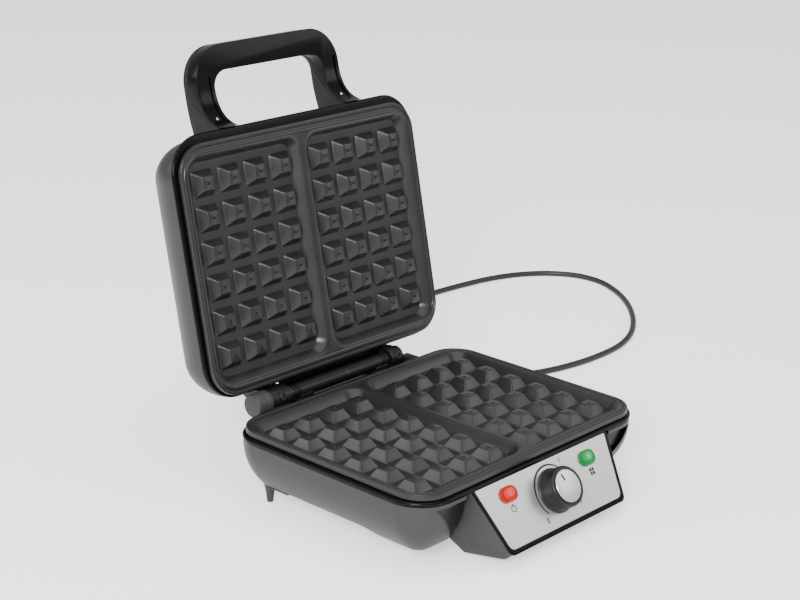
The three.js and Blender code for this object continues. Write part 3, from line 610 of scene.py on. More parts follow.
def bowl(name, wall, side, rim, line, steps=26):
    rings = [None]
    for i in range(steps + 1):
        angle = math.radians(90 * i / steps)
        inset = REACH - (REACH - wall) * math.cos(angle)
        radius = max(SHELL_RADIUS - inset, 10)
        rings.append(level(rounded(SHELL_HALF_X - inset, SHELL_HALF_Y - inset, radius, 14),
                           line + side * (DROP - wall) * math.sin(angle)))
    rings[0] = [(x, y, rim) for x, y, _ in rings[1]]
    return loft(name, rings)


def hem_line(lift=0.0):
    corner = (-30, HEM_Z + lift)
    return [(120, HEM_Z + lift), corner,
            *bezier(corner, (-40 - lift / 2, HEM_Z + lift), (-44, -61 + lift), (-58, -66.2 + lift), 24)]


def below_hem(lift=0.0):
    return along_x("below_hem", [*hem_line(lift), (-120, -66.2 + lift), (-120, -90), (120, -90)], -150, 150)


def control_window():
    half = [(87, 5), (87, -11.9), (118, -12.1), (85, -52), (76, -70)]
    outline = half + [(-x, z) for x, z in reversed(half)]
    return loft("window", [[(x, y, z) for x, z in outline] for y in (-140, -50)])


# %% Lower shell
lower_shell = bowl("lower_shell", 0, -1, SHELL_RIM, SHELL_LINE)
cut(lower_shell, bowl("inside", SHELL_WALL, -1, SHELL_RIM + 1, SHELL_LINE), below_hem(), control_window(),
    rod_y("cord_hole", 7, EXIT.x, 83, 110, EXIT.z), block("floor_cut", -150, 150, -120, 120, -80, TABLE))
hand_over(lower_shell, satin_steel, "base", "base_housing")

# %% Lid shell
lid_shell = bowl("lid_shell", 0, 1, PLATE_GAP - SHELL_RIM, PLATE_GAP - SHELL_LINE)
cut(lid_shell, bowl("inside", SHELL_WALL, 1, PLATE_GAP - SHELL_RIM - 1, PLATE_GAP - SHELL_LINE))
hand_over(lid_shell, satin_steel, "lid", "lid_housing", into=OPEN)

# %% [markdown]
# ## Bezels
# A gloss moulding closes the gap between each shell and its plate. Its outer edge is a half round, which
# is what draws the long thin highlight round the whole machine.


# %% Rings with a rounded section
def bezel(name, front, rear):
    middle, half_y = (rear + front) / 2, (rear - front) / 2
    rings = []
    for angle in range(-90, 91, 18):
        inset = 1.75 - 1.75 * math.cos(math.radians(angle))
        rings.append(level(rounded(137 - inset, half_y - inset, 32 - inset, 14, (0, middle)),
                           -6.75 + 1.75 * math.sin(math.radians(angle))))
    for z in (-5, -8.5):
        rings.append(level(rounded(126, 97, 19, 14), z))
    return loft(name, rings, ring_shaped=True)


# Between the hinge arms a lip reaches back from each ring towards the barrel.
def rear_lip(x0, x1, reach):
    return bevel(block("rear_lip", x0, x1, 102.5, reach, -8.5, -5), 0.6, 3, 40)


lower_bezel = combine(bezel("lower_bezel", -105.5, 105.5), "UNION", [rear_lip(-59.7, 57, 118)])
cut(lower_bezel, block("panel_step", -84.5, 84.5, -110, -99, -9, -7.1),
    *[block("bracket_slot", x - 7.3, x + 7.3, 105.9, 130, -9, -4) for x in (-45, 45)])
hand_over(lower_bezel, gloss_black, "base", "base_bezel")
upper_bezel = combine(bezel("upper_bezel", -109.5, 105), "UNION", [rear_lip(-57, 59.7, 110.6)])
hand_over(upper_bezel, gloss_black, "lid", "lid_bezel", into=OPEN @ FACE_DOWN)

# %% [markdown]
# ## Cooking plates
# Each plate is one casting: a rim with a sealing groove, two wells parted by a ridge, and rows of
# pyramids. The wells are stacks whose top ring flares out, so that the land rolls into the wall as a
# coated casting does. The pyramids repeat on a grid, which is Geometry Nodes' kind of work: one drawn
# pyramid, a grid of points, and its pitch and counts as named inputs.

# %% The casting without its pyramids
WELL_DEPTH = 8


def well(side):
    inner_top, outer_top, half_top = 2.3, 126.9, 93.0
    inner_low, outer_low, half_low = 11.0, 118.0, 86.5
    flare = [(0.0, 0.0), (0.12, -0.03), (0.7, -0.03), (0.86, 0.12), (0.95, 0.35), (1.0, 0.75), (1.0, 0.75)]
    heights = [-WELL_DEPTH, -WELL_DEPTH + 0.35, -1.6, -0.7, -0.25, 0.02, 0.6]
    rings = []
    for (part, grow), z in zip(flare, heights):
        if z == -WELL_DEPTH:
            part, grow = 0.0, -1.6
        inner = inner_low + (inner_top - inner_low) * part - grow
        outer = outer_low + (outer_top - outer_low) * part + grow
        half_y = half_low + (half_top - half_low) * part + grow
        middle, half_x = side * (inner + outer) / 2, (outer - inner) / 2
        rings.append(level(rounded(half_x, half_y, 9 + 5 * part, 12, (middle, 0)), z))
    return loft("well", rings)


def casting(name):
    outside = [(125, 96, 18, -11), (125, 96, 18, -4.7), (132, 102, 25.5, -4.7), (132.5, 102.5, 26, -4.2),
               (132.5, 102.5, 26, -0.3), (132.3, 102.3, 25.8, 0.1), (131.9, 101.9, 25.4, 0.3),
               (131.3, 100.2, 24.7, 0.3), (131.0, 99.6, 24.4, 0.15), (130.6, 99.0, 24, -0.55),
               (130.3, 98.6, 23.7, -0.55), (129.9, 98.1, 23.3, 0.0), (129.7, 97.8, 23.1, 0.12),
               (128.9, 95.9, 22, 0.12), (128.7, 95.3, 21.6, -0.05), (128.5, 94.7, 21.2, -0.4),
               (128.2, 94.2, 20.8, -0.4), (128.0, 93.9, 20.5, 0.05), (127.8, 93.8, 20.3, 0.12)]
    made = loft(name, [level(rounded(x, y, r, 14), z) for x, y, r, z in outside])
    return cut(made, well(-1), well(1))


# %% One pyramid, with soft edges, a flared foot and a small dimple
def pyramid_mesh():
    stack = [(11.2, 2.2, -8.15), (10.7, 2.0, -7.85), (10.3, 1.7, -7.4), (9.75, 1.5, -6.6), (7.6, 1.3, -3.3),
             (6.0, 1.2, -0.85), (5.75, 1.15, -0.4), (5.4, 1.1, -0.12), (4.9, 1.0, 0.0)]
    rings = [level(rounded(half, half, radius, 5), z) for half, radius, z in stack]
    turns = [math.atan2(y, x) for x, y, _ in rings[-1]]
    for radius, z in ((1.9, 0.0), (1.55, 0.18), (1.3, 0.1), (1.0, -0.75), (0.3, -0.8)):
        rings.append([(radius * math.cos(turn), radius * math.sin(turn), z) for turn in turns])
    return smoothed(loft("pyramid_pattern", rings))


# %% A tree that sets pyramids on a grid
COLUMNS, ROWS, PITCH = 4, 6, 28.0


def set_on_points(tree, points, pattern, paint, result):
    """Adds the nodes that set the pattern on each point, and returns the one that does it."""
    source = tree.nodes.new("GeometryNodeObjectInfo")
    source.inputs["Object"].default_value = pattern
    spread = tree.nodes.new("GeometryNodeInstanceOnPoints")
    real = tree.nodes.new("GeometryNodeRealizeInstances")
    painted = tree.nodes.new("GeometryNodeSetMaterial")
    painted.inputs["Material"].default_value = paint
    for output, socket in ((points, spread.inputs["Points"]),
                           (source.outputs["Geometry"], spread.inputs["Instance"]),
                           (spread.outputs["Instances"], real.inputs["Geometry"]),
                           (real.outputs["Geometry"], painted.inputs["Geometry"]),
                           (painted.outputs["Geometry"], result.inputs["Geometry"])):
        tree.links.new(output, socket)
    return spread


def field_tree(pattern, paint):
    tree, given, result = new_group(
        "pyramid_field", GEOMETRY_TREE,
        [("Columns", "NodeSocketInt", COLUMNS), ("Rows", "NodeSocketInt", ROWS), ("Pitch", FLOAT, PITCH),
         ("Middle", VECTOR, None)], GEOMETRY, "Geometry")
    grid = tree.nodes.new("GeometryNodeMeshGrid")
    links = tree.links
    for count, size, verts in (("Columns", "Size X", "Vertices X"), ("Rows", "Size Y", "Vertices Y")):
        less = maths(tree, "SUBTRACT", given.outputs[count], 1)
        links.new(maths(tree, "MULTIPLY", less, given.outputs["Pitch"]), grid.inputs[size])
        links.new(given.outputs[count], grid.inputs[verts])
    move = tree.nodes.new("GeometryNodeTransform")
    links.new(grid.outputs["Mesh"], move.inputs["Geometry"])
    links.new(given.outputs["Middle"], move.inputs["Translation"])
    set_on_points(tree, move.outputs["Geometry"], pattern, paint, result)
    return tree


def grown(name, tree, points=(), **values):
    """The mesh that a tree makes from these points with these inputs."""
    holder = add_object(name, bpy.data.meshes.new(name))
    holder.data.from_pydata(points, [], [])
    modifier = holder.modifiers.new(name, "NODES")
    modifier.node_group = tree
    for item in tree.interface.items_tree:
        if item.in_out == "INPUT" and item.name in values:
            modifier[item.identifier] = values[item.name]
    bpy.context.view_layer.update()
    return settle(holder)


FIELD_MIDDLE = 22.5 + (COLUMNS - 1) / 2 * PITCH
pattern = pyramid_mesh()
pyramid_tree = field_tree(pattern, non_stick)

# %% Both plates
for plate, body, into in (("lower_plate", "base", TO_ROW), ("upper_plate", "lid", OPEN @ FACE_DOWN)):
    hand_over(casting(plate + "_casting"), non_stick, body, plate, into=into)
    for name, side in (("left", -1), ("right", 1)):
        field = grown(f"{plate}_pyramids_{name}", pyramid_tree, Columns=COLUMNS, Rows=ROWS, Pitch=PITCH,
                      Middle=(side * FIELD_MIDDLE, 0.0, 0.0))
        hand_over(field, non_stick, body, plate, into=into, crease=50)
bpy.data.objects.remove(pattern)

# %% [markdown]
# ## Handle
# The handle is moulded in two halves, split along a line that shows as a fine seam. Seen from the
# front it is a loop; seen from the side its legs sweep down to the bezel. Crossing the two outlines as
# solids gives the true shape, a bevel gives the moulded edge, and the lid's bowl trims the roots.

# %% Outlines of the loop and of its side view
HANDLE_X, HANDLE_TOP, HANDLE_R = 80, -175.5, 31
HOLE_X, HOLE_TOP, HOLE_R = 62, -154, 14
GRIP_FRONT, SPLIT, GRIP_BACK = PLATE_GAP + 27, PLATE_GAP + 39, PLATE_GAP + 44.4
FOOT_Y, ROOT_Y = -109.8, -88
SPLIT_GAP = 0.3


def handle_loop(name):
    outline = [(HANDLE_X, ROOT_Y), (-HANDLE_X, ROOT_Y),
               *arc(-HANDLE_X + HANDLE_R, HANDLE_TOP + HANDLE_R, HANDLE_R, 180, 270, 28),
               *arc(HANDLE_X - HANDLE_R, HANDLE_TOP + HANDLE_R, HANDLE_R, 270, 360, 28)]
    hole = [(HOLE_X, ROOT_Y + 5), (-HOLE_X, ROOT_Y + 5),
            *arc(-HOLE_X + HOLE_R, HOLE_TOP + HOLE_R, HOLE_R, 180, 270, 18),
            *arc(HOLE_X - HOLE_R, HOLE_TOP + HOLE_R, HOLE_R, 270, 360, 18)]
    return cut(slab(name, outline, 0, 70), slab("finger_gap", hole, -1, 71))


def split_curve(shift=0.0):
    start = (-146, SPLIT + shift)
    return [start, *bezier(start, (-133, SPLIT + shift), (-119, PLATE_GAP + 30 + shift),
                           (FOOT_Y, PLATE_GAP + 9.1 + shift), 24)]


def front_curve(lift=0.0):
    start = (FOOT_Y, PLATE_GAP + 4.8 + lift)
    return [start, *bezier(start, (-113, PLATE_GAP + 17 + lift), (-121, GRIP_FRONT + lift),
                           (-142, GRIP_FRONT + lift), 24)]


HANDLE_SCREW_X, HANDLE_SCREW_Z = 71, PLATE_GAP + 20


def trimmed_half(name, side_view, width):
    half = handle_loop(name)
    combine(half, "INTERSECT", [along_x("side_view", side_view, -90, 90)])
    bevel(half, width, 4, 42)
    return cut(half, bowl("lid_clearance", -0.3, 1, PLATE_GAP - SHELL_RIM - 0.3, PLATE_GAP - SHELL_LINE))


# %% Front half, with a channel down each leg
far = HANDLE_TOP - 1
front_view = [*front_curve(), (far, GRIP_FRONT), (far, SPLIT), *split_curve()]
handle_front = trimmed_half("handle_front_half", front_view, 2.4)
CHANNEL_HALF, CHANNEL_DEPTH = 5.6, 1.5
channel = [*front_curve(CHANNEL_DEPTH), (-150, GRIP_FRONT + CHANNEL_DEPTH), (-150, GRIP_FRONT - 12),
           (-104, GRIP_FRONT - 40)]
for x in (-HANDLE_SCREW_X, HANDLE_SCREW_X):
    groove = along_x("channel", channel, x - CHANNEL_HALF, x + CHANNEL_HALF)
    channel_end = rounded(CHANNEL_HALF, 22, CHANNEL_HALF, 10, (x, -133.5))
    combine(groove, "INTERSECT", [slab("channel_end", channel_end, -20, 70)])
    cut(handle_front, groove)
hand_over(handle_front, gloss_black, "lid", "handle_front", into=OPEN)

# %% Back half
BACK_ROOT = (-87, PLATE_GAP + 37)
back_curve = bezier(BACK_ROOT, (-104, PLATE_GAP + 41.5), (-118, GRIP_BACK), (-132, GRIP_BACK), 20)
back_view = [(far, SPLIT + SPLIT_GAP), *split_curve(0.5), (-87, PLATE_GAP + 9.6), BACK_ROOT, *back_curve,
             (far, GRIP_BACK)]
handle_back = trimmed_half("handle_back_half", back_view, 1.6)
hand_over(handle_back, handle_grey, "lid", "handle_back", into=OPEN)

# %% [markdown]
# ## Control box and panel
# The control box is a faceted moulding between twelve corners. Its skin is the convex hull of those
# corners, softened, and hollowed by a smaller hull. The panel in front of it is drawn flat in its own
# plane and tilted afterwards, so that its holes, print and lamps stay simple.

# %% The hollow wedge
BOX_CORNERS = [(81.5, -103.5, -7.5), (70.2, -134.5, -53.4), (71, -129.5, -59), (76, -94, -63.5),
               (84, -84, -51), (84, -84, -21)]


def box_hull(name, shrink_x, shrink_yz):
    middle = Vector((0, -103, -36))
    corners = []
    for x, y, z in BOX_CORNERS:
        for sign in (1, -1):
            away = Vector((sign * x, y, z)) - middle
            corners.append(middle + Vector((away.x * shrink_x, away.y * shrink_yz, away.z * shrink_yz)))
    work = bmesh.new()
    for corner in corners:
        work.verts.new(corner)
    bmesh.ops.convex_hull(work, input=work.verts)
    bmesh.ops.dissolve_limit(work, angle_limit=math.radians(1), verts=work.verts, edges=work.edges)
    return released(name, work)


def pill(length, height, steps=16):
    r = height / 2
    return [*arc(length / 2 - r, 0, r, -90, 90, steps), *arc(-length / 2 + r, 0, r, 90, 270, steps)]


LAMP_X, LAMP_DOWN, KNOB_DOWN = 48.3, 12.7, 25.5


def panel_holes(pose=None):
    stem = pill(14.6, 8.6)
    return [slab("hole", [(px + x, py - down) for px, py in outline], -8, 8, pose)
            for x, down, outline in ((-LAMP_X, LAMP_DOWN, stem), (LAMP_X, LAMP_DOWN, stem),
                                     (0, KNOB_DOWN, circle(4, 32)))]


control_wedge = bevel(box_hull("control_wedge", 1, 1), 1.6, 4, 12)
cut(control_wedge, box_hull("inside", 0.97, 0.91), block("back_opening", -72, 72, -90, -80, -48, -18),
    *panel_holes(PANEL))
hand_over(control_wedge, box_grey, "base", "control_box")

# %% Panel sheet and its black frame
FACE = 0.4


def panel_outline(grow, top, bottom, corner=5):
    def wide(down):
        return 79.5 - 11.5 * down / 52 + grow

    start, bend = (-wide(bottom - corner), -(bottom - corner)), (-wide(bottom), -bottom)
    end = (-wide(bottom) + corner, -bottom)
    left = [(-wide(top), -top), start]
    for t in [i / 10 for i in range(1, 11)]:
        left.append(tuple((1 - t) ** 2 * a + 2 * t * (1 - t) * b + t * t * c
                          for a, b, c in zip(start, bend, end)))
    return left + [(-x, y) for x, y in reversed(left)]


panel_rim = slab("panel_rim", panel_outline(3.2, -0.2, 56), -0.6, FACE + 0.4)
bevel(panel_rim, 0.35, 3, 30)
cut(panel_rim, slab("opening", panel_outline(0.2, 0.4, 52.2), -2, 2))
hand_over(panel_rim, gloss_black, "base", "panel_frame", into=TO_ROW @ PANEL)

panel_sheet = slab("panel_sheet", panel_outline(-0.1, 0.7, 51.9), -0.6, FACE)
cut(panel_sheet, *panel_holes())
hand_over(panel_sheet, brushed_metal, "base", "control_panel", into=TO_ROW @ PANEL)

# %% [markdown]
# The print on the panel is a thin film of ink: an arc that is widest at its middle, numerals and dashes
# round the knob, and a plain symbol under each lamp. Each mark is a shape 0.06 mm thick, all joined.

# %% Print
INK = 0.06


def ink(outline_points):
    return slab("ink", outline_points, FACE, FACE + INK)


def dial_point(radius, turn):
    """A point on the dial: turn is in degrees from the top, anticlockwise."""
    return (-radius * math.sin(math.radians(turn)), radius * math.cos(math.radians(turn)) - KNOB_DOWN)


def ink_text(text, place, size):
    curve = bpy.data.curves.new("numeral", "FONT")
    curve.body, curve.size = text, size
    curve.align_x, curve.align_y = "CENTER", "CENTER"
    curve.extrude = INK / 2
    curve.offset = 0.14
    letter = add_object("numeral", curve)
    bpy.context.view_layer.update()
    mesh = bpy.data.meshes.new_from_object(letter.evaluated_get(bpy.context.evaluated_depsgraph_get()))
    mesh.transform(Matrix.Translation((*place, FACE + INK / 2)))
    bpy.data.objects.remove(letter)
    return add_object("numeral", mesh)


def joined(name, parts):
    work = bmesh.new()
    for part in parts:
        work.from_mesh(part.data)
        bpy.data.objects.remove(part)
    return released(name, work)


ARC_START, ARC_END, ARC_R, ARC_STEPS = 132, -49, 21, 60
arc_points = [(ARC_START + (ARC_END - ARC_START) * i / ARC_STEPS,
               0.5 + 0.4 * math.sin(math.pi * i / ARC_STEPS)) for i in range(ARC_STEPS + 1)]
prints = [ink([dial_point(ARC_R - half, turn) for turn, half in arc_points]
              + [dial_point(ARC_R + half, turn) for turn, half in reversed(arc_points)])]
FIRST_TURN, LAST_TURN = -42, -124
for text, turn in (("0", 134), ("1", FIRST_TURN), ("6", LAST_TURN)):
    prints.append(ink_text(text, dial_point(27, turn), 6.4))

PER_RADIAN = 57.3
DASH = [(23.2, -0.4), (23.2, 0.4), (25.8, 0.4), (25.8, -0.4)]
for k in range(1, 5):
    turn = FIRST_TURN + (LAST_TURN - FIRST_TURN) * k / 5
    prints.append(ink([dial_point(radius, turn + across / radius * PER_RADIAN) for radius, across in DASH]))

LABEL_DOWN = LAMP_DOWN + 11.5


def under_lamp(outline):
    return [(-LAMP_X + x, -LABEL_DOWN + y) for x, y in outline]


power_disc, power_hole = under_lamp(circle(2.9, 40)), under_lamp(circle(2.2, 40))
prints += [cut(ink(power_disc), slab("inside", power_hole, FACE - 1, FACE + 1)),
           ink(under_lamp([(-0.35, 0), (0.35, 0), (0.35, 4), (-0.35, 4)]))]
for i in range(2):
    for j in range(2):
        cell = rounded(1.25, 1.25, 0.25, 3, (LAMP_X - 1.5 + 3 * i, -LABEL_DOWN - 1.5 + 3 * j))
        prints.append(ink(cell))
hand_over(joined("panel_print", prints), print_black, "base", into=TO_ROW @ PANEL)

# %% [markdown]
# ## Lamps
# Each lamp is a coloured cap over a glow lamp. It is brightest over the bulb, so its light fades from a
# bright centre to the deep colour at its rim, driven by the distance from a point over the bulb.


# %% Lens finish
def lens_finish(name, deep, bright, centre):
    made, tree, shader = new_paint(name, {"Roughness": 0.12, "Specular IOR Level": 0.25,
                                          "Emission Strength": 0.7})
    where = tree.nodes.new("ShaderNodeTexCoord").outputs["Object"]
    distance = tree.nodes.new("ShaderNodeVectorMath")
    distance.operation = "DISTANCE"
    tree.links.new(where, distance.inputs[0])
    distance.inputs[1].default_value = centre
    spread = tree.nodes.new("ShaderNodeMapRange")
    spread.inputs["From Min"].default_value = 0.0012
    spread.inputs["From Max"].default_value = 0.0078
    tree.links.new(distance.outputs["Value"], spread.inputs["Value"])
    glow = tree.nodes.new("ShaderNodeValToRGB")
    glow.color_ramp.elements[0].color = (*bright, 1)
    glow.color_ramp.elements[1].color = (*[c * 0.2 for c in deep], 1)
    middle = glow.color_ramp.elements.new(0.4)
    middle.color = (*[c * 1.1 for c in deep], 1)
    tree.links.new(spread.outputs["Result"], glow.inputs["Fac"])
    tree.links.new(glow.outputs["Color"], shader.inputs["Emission Color"])
    speck = placed(tree, grain, where, Scale=700)
    tinted(tree, shader, speck.outputs["Mottle"], [c * 0.8 for c in deep], deep)
    return made


# %% Domed lenses and the bulbs behind them
def lens(name):
    stem, rim = pill(14, 8), pill(19, 12.5)
    rings = [level(stem, -5), level(stem, FACE + 0.3), level(rim, FACE + 0.3), level(rim, FACE + 0.9)]
    for k in range(1, 7):
        angle = math.radians(15 * k)
        inset = 4.2 * (1 - math.cos(angle))
        rings.append(level(pill(19 - 2 * inset, 12.5 - 2 * inset), FACE + 0.9 + 1.5 * math.sin(angle)))
    return loft(name, rings)


LAMPS = [("power", -1, (0.42, 0.004, 0.001), (1.0, 0.1, 0.03), "red_lens"),
         ("ready", 1, (0.0, 0.17, 0.03), (0.02, 0.9, 0.3), "green_lens")]
BULB = [(0, -18), (2.1, -18), (2.6, -17), (2.6, -9), (2.2, -7.4), (1.2, -6.3), (0, -6)]
bulb_glass = finish("bulb_glass", (0.6, 0.5, 0.34), 0.12, grain_scale=600, coat=0.5)
for name, side, deep, bright, slot in LAMPS:
    place = TO_ROW @ (PANEL @ Matrix.Translation((side * LAMP_X, -LAMP_DOWN, 0)))
    centre = place @ Vector((1.0, 0.6, 2.2))
    glow = lens_finish(f"{name}_glow", deep, bright, centre)
    hand_over(lens(f"{name}_lens"), glow, "base", f"{name}_lamp_lens", into=place)
    hand_over(turned(f"{name}_bulb", BULB, 32), bulb_glass, "base", f"{name}_neon_lamp", into=place)

# %% [markdown]
# ## Knob
# The knob is a turned shape with a skirt, a slightly tapering grip and a rounded front edge that holds a
# metal disc. It rides on its own body, so the pointer turns with it.

# %% Knob, its cap, its pointer and its shaft
KNOB = TO_ROW @ PANEL @ Matrix.Translation((0, -KNOB_DOWN, 0))
knob_profile = [(0, 0.7), (17.7, 0.7), (18, 0.95), (18, 1.9), (17.8, 2.2), (16.9, 2.7), (16.7, 3.1),
                (16.35, 13.9), (16.1, 15), (15.6, 15.7), (14.9, 16), (13.6, 16), (13.3, 15.8), (13.3, 14.6),
                (0, 14.6)]
grip = turned("knob_grip", knob_profile, 96)
cut(grip, turned("shaft_hole", [(3.3, -1), (3.3, 11)], 32))
hand_over(grip, matte_black, "knob", "control_knob", into=KNOB)
cap_profile = [(0, 14.9), (12.8, 14.9), (13, 15.1), (13, 15.9), (12.7, 16.25), (12.1, 16.4), (0, 16.4)]
hand_over(turned("knob_disc", cap_profile, 96), cap_metal, "knob", "knob_cap", into=KNOB)

POINTER_TURN = 17
pointer = slab("knob_pointer", rounded(0.95, 3.1, 0.9, 6, (0, 7.7)), 16.4, 16.4 + INK,
               at((0, 0, 0), POINTER_TURN, "Z"))
hand_over(pointer, print_black, "knob", into=KNOB)
shaft = turned("knob_shaft", [(0, -15), (2.6, -15), (3, -14.6), (3, 9.8), (2.4, 10.6), (0, 10.6)], 40)
cut(shaft, block("flat", 2, 4, -4, 4, 2, 12))
hand_over(shaft, zinc_plate, "knob", "thermostat_shaft", into=KNOB)

# %% [markdown]
# ## Hinge
# The lid turns on a steel pin. Two barrel halves hold it over the brackets, an arm of the lid grips it at
# each end, and a cap closes the left end. The barrels carry raised rings at their ends, so their profile
# is a rule along the pin rather than a plain rod.

# %% Barrels, pin and end cap
AT_HINGE = at((0, HINGE.y, HINGE.z), 90, "Y")
PIN = 2.5


def barrel(name, x0, x1, ring_side):
    outer = [(6.0, x0), (6.3, x0 + 0.3)]
    rings = [x0 + 2.5 + 3 * k for k in range(3)] if ring_side < 0 else [x1 - 2.5 - 3 * k for k in (2, 1, 0)]
    for middle in rings:
        outer += [(6.3, middle - 0.9), (5.6, middle - 0.7), (5.6, middle + 0.7), (6.3, middle + 0.9)]
    outer += [(6.3, x1 - 0.3), (6.0, x1)]
    profile = [(PIN + 0.3, x0), *outer, (PIN + 0.3, x1)]
    return turned(name, profile, hollow=True, pose=AT_HINGE)


hand_over(barrel("barrel_left", -59.7, 4.7, -1), matte_black, "base", "hinge_barrel_left")
hand_over(barrel("barrel_right", 5.3, 57, 1), matte_black, "base", "hinge_barrel_right")
pin_profile = [(0, -96), (2.1, -96), (PIN, -95.5), (PIN, 70), (2.1, 70.5), (0, 70.5)]
steel_pin = turned("steel_pin", pin_profile, 40, pose=AT_HINGE)
hand_over(steel_pin, zinc_plate, "base", "hinge_pin")

cap_rings = [(0, -100), (8.6, -100), (9.3, -99.8), (9.8, -99.3), (10, -98.6), (10, -90.5), (9.7, -90.2),
             (9.7, -89.5), (10, -89.2), (10, -85), (9.7, -84.6), (2.8, -84.6), (2.8, -96.5), (0, -96.5)]
end_cap = turned("end_cap", cap_rings, 72, pose=AT_HINGE)
hand_over(end_cap, box_grey, "base", "hinge_end_cap")

# %% Brackets and the moulded hood of the lead
for node, width in (("hinge_bracket_left", 0.0007), ("hinge_bracket_right", 0.0007), ("cord_outlet", 0.0008)):
    hand_over(refined(node, width, 3, 50), matte_black, "base", node, into=IN_ROW)


# %% Arms: an eye round the pin, a foot on the lid, a screw's dish behind and a boss in front
def arm(side, x0, x1):
    outline = [*arc(HINGE.y, HINGE.z, 9, 160, 390, 44), (119, 16), (112, 30), (105.6, 32), (105.6, 7)]
    made = bevel(along_x(f"{side}_arm", outline, x0, x1), 1.3, 4, 30)
    cut(made, rod_x("pin_bore", PIN + 0.3, x0 - 1, x1 + 1, HINGE.y, HINGE.z))
    middle = (x0 + x1) / 2
    dish = turned("dish", [(2.9, 0), (3.4, 3)], 32, pose=at((middle, 113.5, 21.5), -60))
    cut(made, dish, rod_y("screw_hole", 1.95, middle, 95, 112, PLATE_GAP + 17))
    boss = turned("boss", [(1.9, 8.4), (1.9, 9.9), (3.0, 9.9), (3.4, 9.6), (3.4, 8.4)], 32, True,
                  at((middle, HINGE.y, HINGE.z), 166))
    return combine(made, "UNION", [boss])


for side, (x0, x1) in (("left", (-84, -62)), ("right", (57.6, 71.5))):
    hand_over(arm(side, x0, x1), matte_black, "lid", f"hinge_arm_{side}", into=OPEN)

# %% [markdown]
# ## Feet, floor and the parts inside
# The floor moulding, the feet and the inner parts are simple shapes, so they keep the plain node's mesh
# with rounded edges. The rear feet are tapering pegs with rounded tips, turned from one outline.

# %% Feet
PEG = [(0, TABLE), (1.4, TABLE), (2.1, TABLE + 0.3), (2.6, TABLE + 1.1), (3.4, -58), (4.5, -52), (4.9, -50.5),
       (4.9, -47.4), (4.6, HEM_Z), (0, HEM_Z)]
for side, x in (("left", -1), ("right", 1)):
    front = refined(f"front_foot_{side}", 0.0006, 3, 30)
    hand_over(front, foot_rubber, "base", f"front_foot_{side}", into=IN_ROW)
    peg = turned(f"rear_peg_{side}", PEG, 40, pose=at((x * 113, 80, 0)))
    hand_over(peg, box_grey, "base", f"rear_foot_{side}")

# %% Floor moulding
hand_over(refined("bottom_cover", 0.0004, 2, 60), matte_black, "base", "bottom_cover", into=IN_ROW)


# %% Heating elements: one rounded loop of tube, with both ends at the rear
def element(name, body, into):
    height, bend, tube_radius = -15, 16, 3.2
    corners = [(-14, 86), (-14, 56), (-98, 56), (-98, -66), (98, -66), (98, 56), (14, 56), (14, 86)]
    line = [Vector((*corners[0], height))]
    for before, here, after in zip(corners, corners[1:], corners[2:]):
        a, b, c = (Vector((*p, height)) for p in (before, here, after))
        start, end = b + (a - b).normalized() * bend, b + (c - b).normalized() * bend
        for t in [k / 10 for k in range(11)]:
            line.append((1 - t) ** 2 * start + 2 * t * (1 - t) * b + t * t * end)
    line.append(Vector((*corners[-1], height)))
    hand_over(swept(f"{body}_element_tube", line, tube_radius), heater_brown, body, name, into=into)


element("lower_heating_element", "base", TO_ROW)
element("upper_heating_element", "lid", OPEN @ FACE_DOWN)

# %% Reflectors, fuse, terminal block and thermostat
for node, body, paint, width in (
        ("lower_heat_shield", "base", rolled_aluminium, 0.0003),
        ("upper_heat_shield", "lid", rolled_aluminium, 0.0003),
        ("thermal_fuse", "base", ceramic_white, 0.0003),
        ("terminal_block", "base", ceramic_white, 0.001),
        ("thermostat", "base", ceramic_white, 0.001)):
    hand_over(refined(node, width, 2, 40), paint, body, node, into=IN_ROW)

# %% [markdown]
# ## Screws
# All twelve screws have the same pan head with a cross recess, and each group its own shank. One screw
# is drawn for a group, and Geometry Nodes sets a copy on each of the group's points, turned by a named
# input.


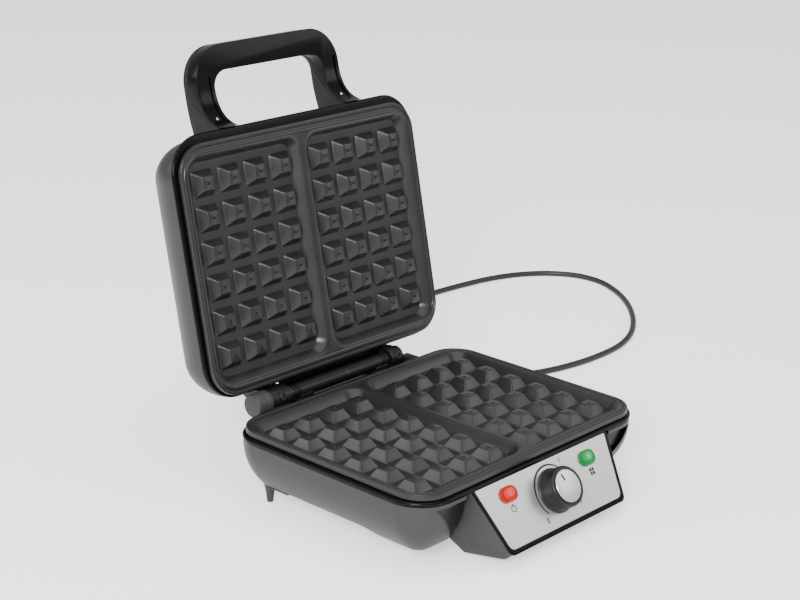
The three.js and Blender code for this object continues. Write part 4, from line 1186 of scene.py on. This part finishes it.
# %% One pan-head screw, its head at the origin and its shank along -Z
def screw_pattern(shank_length):
    profile = [(0, -shank_length), (0.8, -shank_length), (1.6, -shank_length + 1.6), (1.6, 0), (3.1, 0),
               (3.4, 0.3), (3.3, 0.9), (2.8, 1.5), (1.9, 1.9), (0.8, 2), (0, 2)]
    made = turned("screw_pattern", profile, 36)
    cut(made, block("slot_a", -2, 2, -0.38, 0.38, 0.9, 3), block("slot_b", -0.38, 0.38, -2, 2, 0.9, 3))
    return smoothed(made)


# %% A tree that sets screws on points
def screw_tree(pattern, paint):
    tree, given, result = new_group(
        "screws_on_points", GEOMETRY_TREE, [("Geometry", GEOMETRY, None), ("Turn", VECTOR, None)],
        GEOMETRY, "Geometry")
    turn = tree.nodes.new("FunctionNodeEulerToRotation")
    tree.links.new(given.outputs["Turn"], turn.inputs[0])
    spread = set_on_points(tree, given.outputs["Geometry"], pattern, paint, result)
    tree.links.new(turn.outputs[0], spread.inputs["Rotation"])
    return tree


def screws(name, points, turn, shank_length, body, nodes, into):
    pattern = screw_pattern(shank_length)
    group = grown(name, screw_tree(pattern, zinc_plate), points, Turn=turn)
    bpy.data.objects.remove(pattern)
    hand_over(group, zinc_plate, body, *nodes, into=into)


# %% Four groups of screws
DOWN, BACKWARDS, FORWARDS = (math.pi, 0.0, 0.0), (-math.pi / 2, 0.0, 0.0), (math.pi / 2, 0.0, 0.0)
INNER_FACE = SHELL_HALF_Y - SHELL_WALL - 1.5
screws("cover_screws", [(x, y, HEM_Z) for x in (-88, 88) for y in (-16, 64)], DOWN, 9, "base",
       [f"cover_screw_{i}" for i in (1, 2, 3, 4)], TO_ROW)
screws("bracket_screws", [(x, 119.3, z) for x in (-45, 45) for z in (-16, -24)], BACKWARDS, 21, "base",
       [f"bracket_screw_{side}_{i}" for side in ("left", "right") for i in (1, 2)], TO_ROW)
screws("arm_screws", [(x, INNER_FACE, PLATE_GAP + 17) for x in (-73, 64.55)], FORWARDS, 8.5, "lid",
       ["arm_screw_left", "arm_screw_right"], OPEN)
screws("handle_screws", [(x, -INNER_FACE + 0.6, HANDLE_SCREW_Z) for x in (-HANDLE_SCREW_X, HANDLE_SCREW_X)],
       BACKWARDS, 16, "lid", ["handle_screw_left", "handle_screw_right"], OPEN)
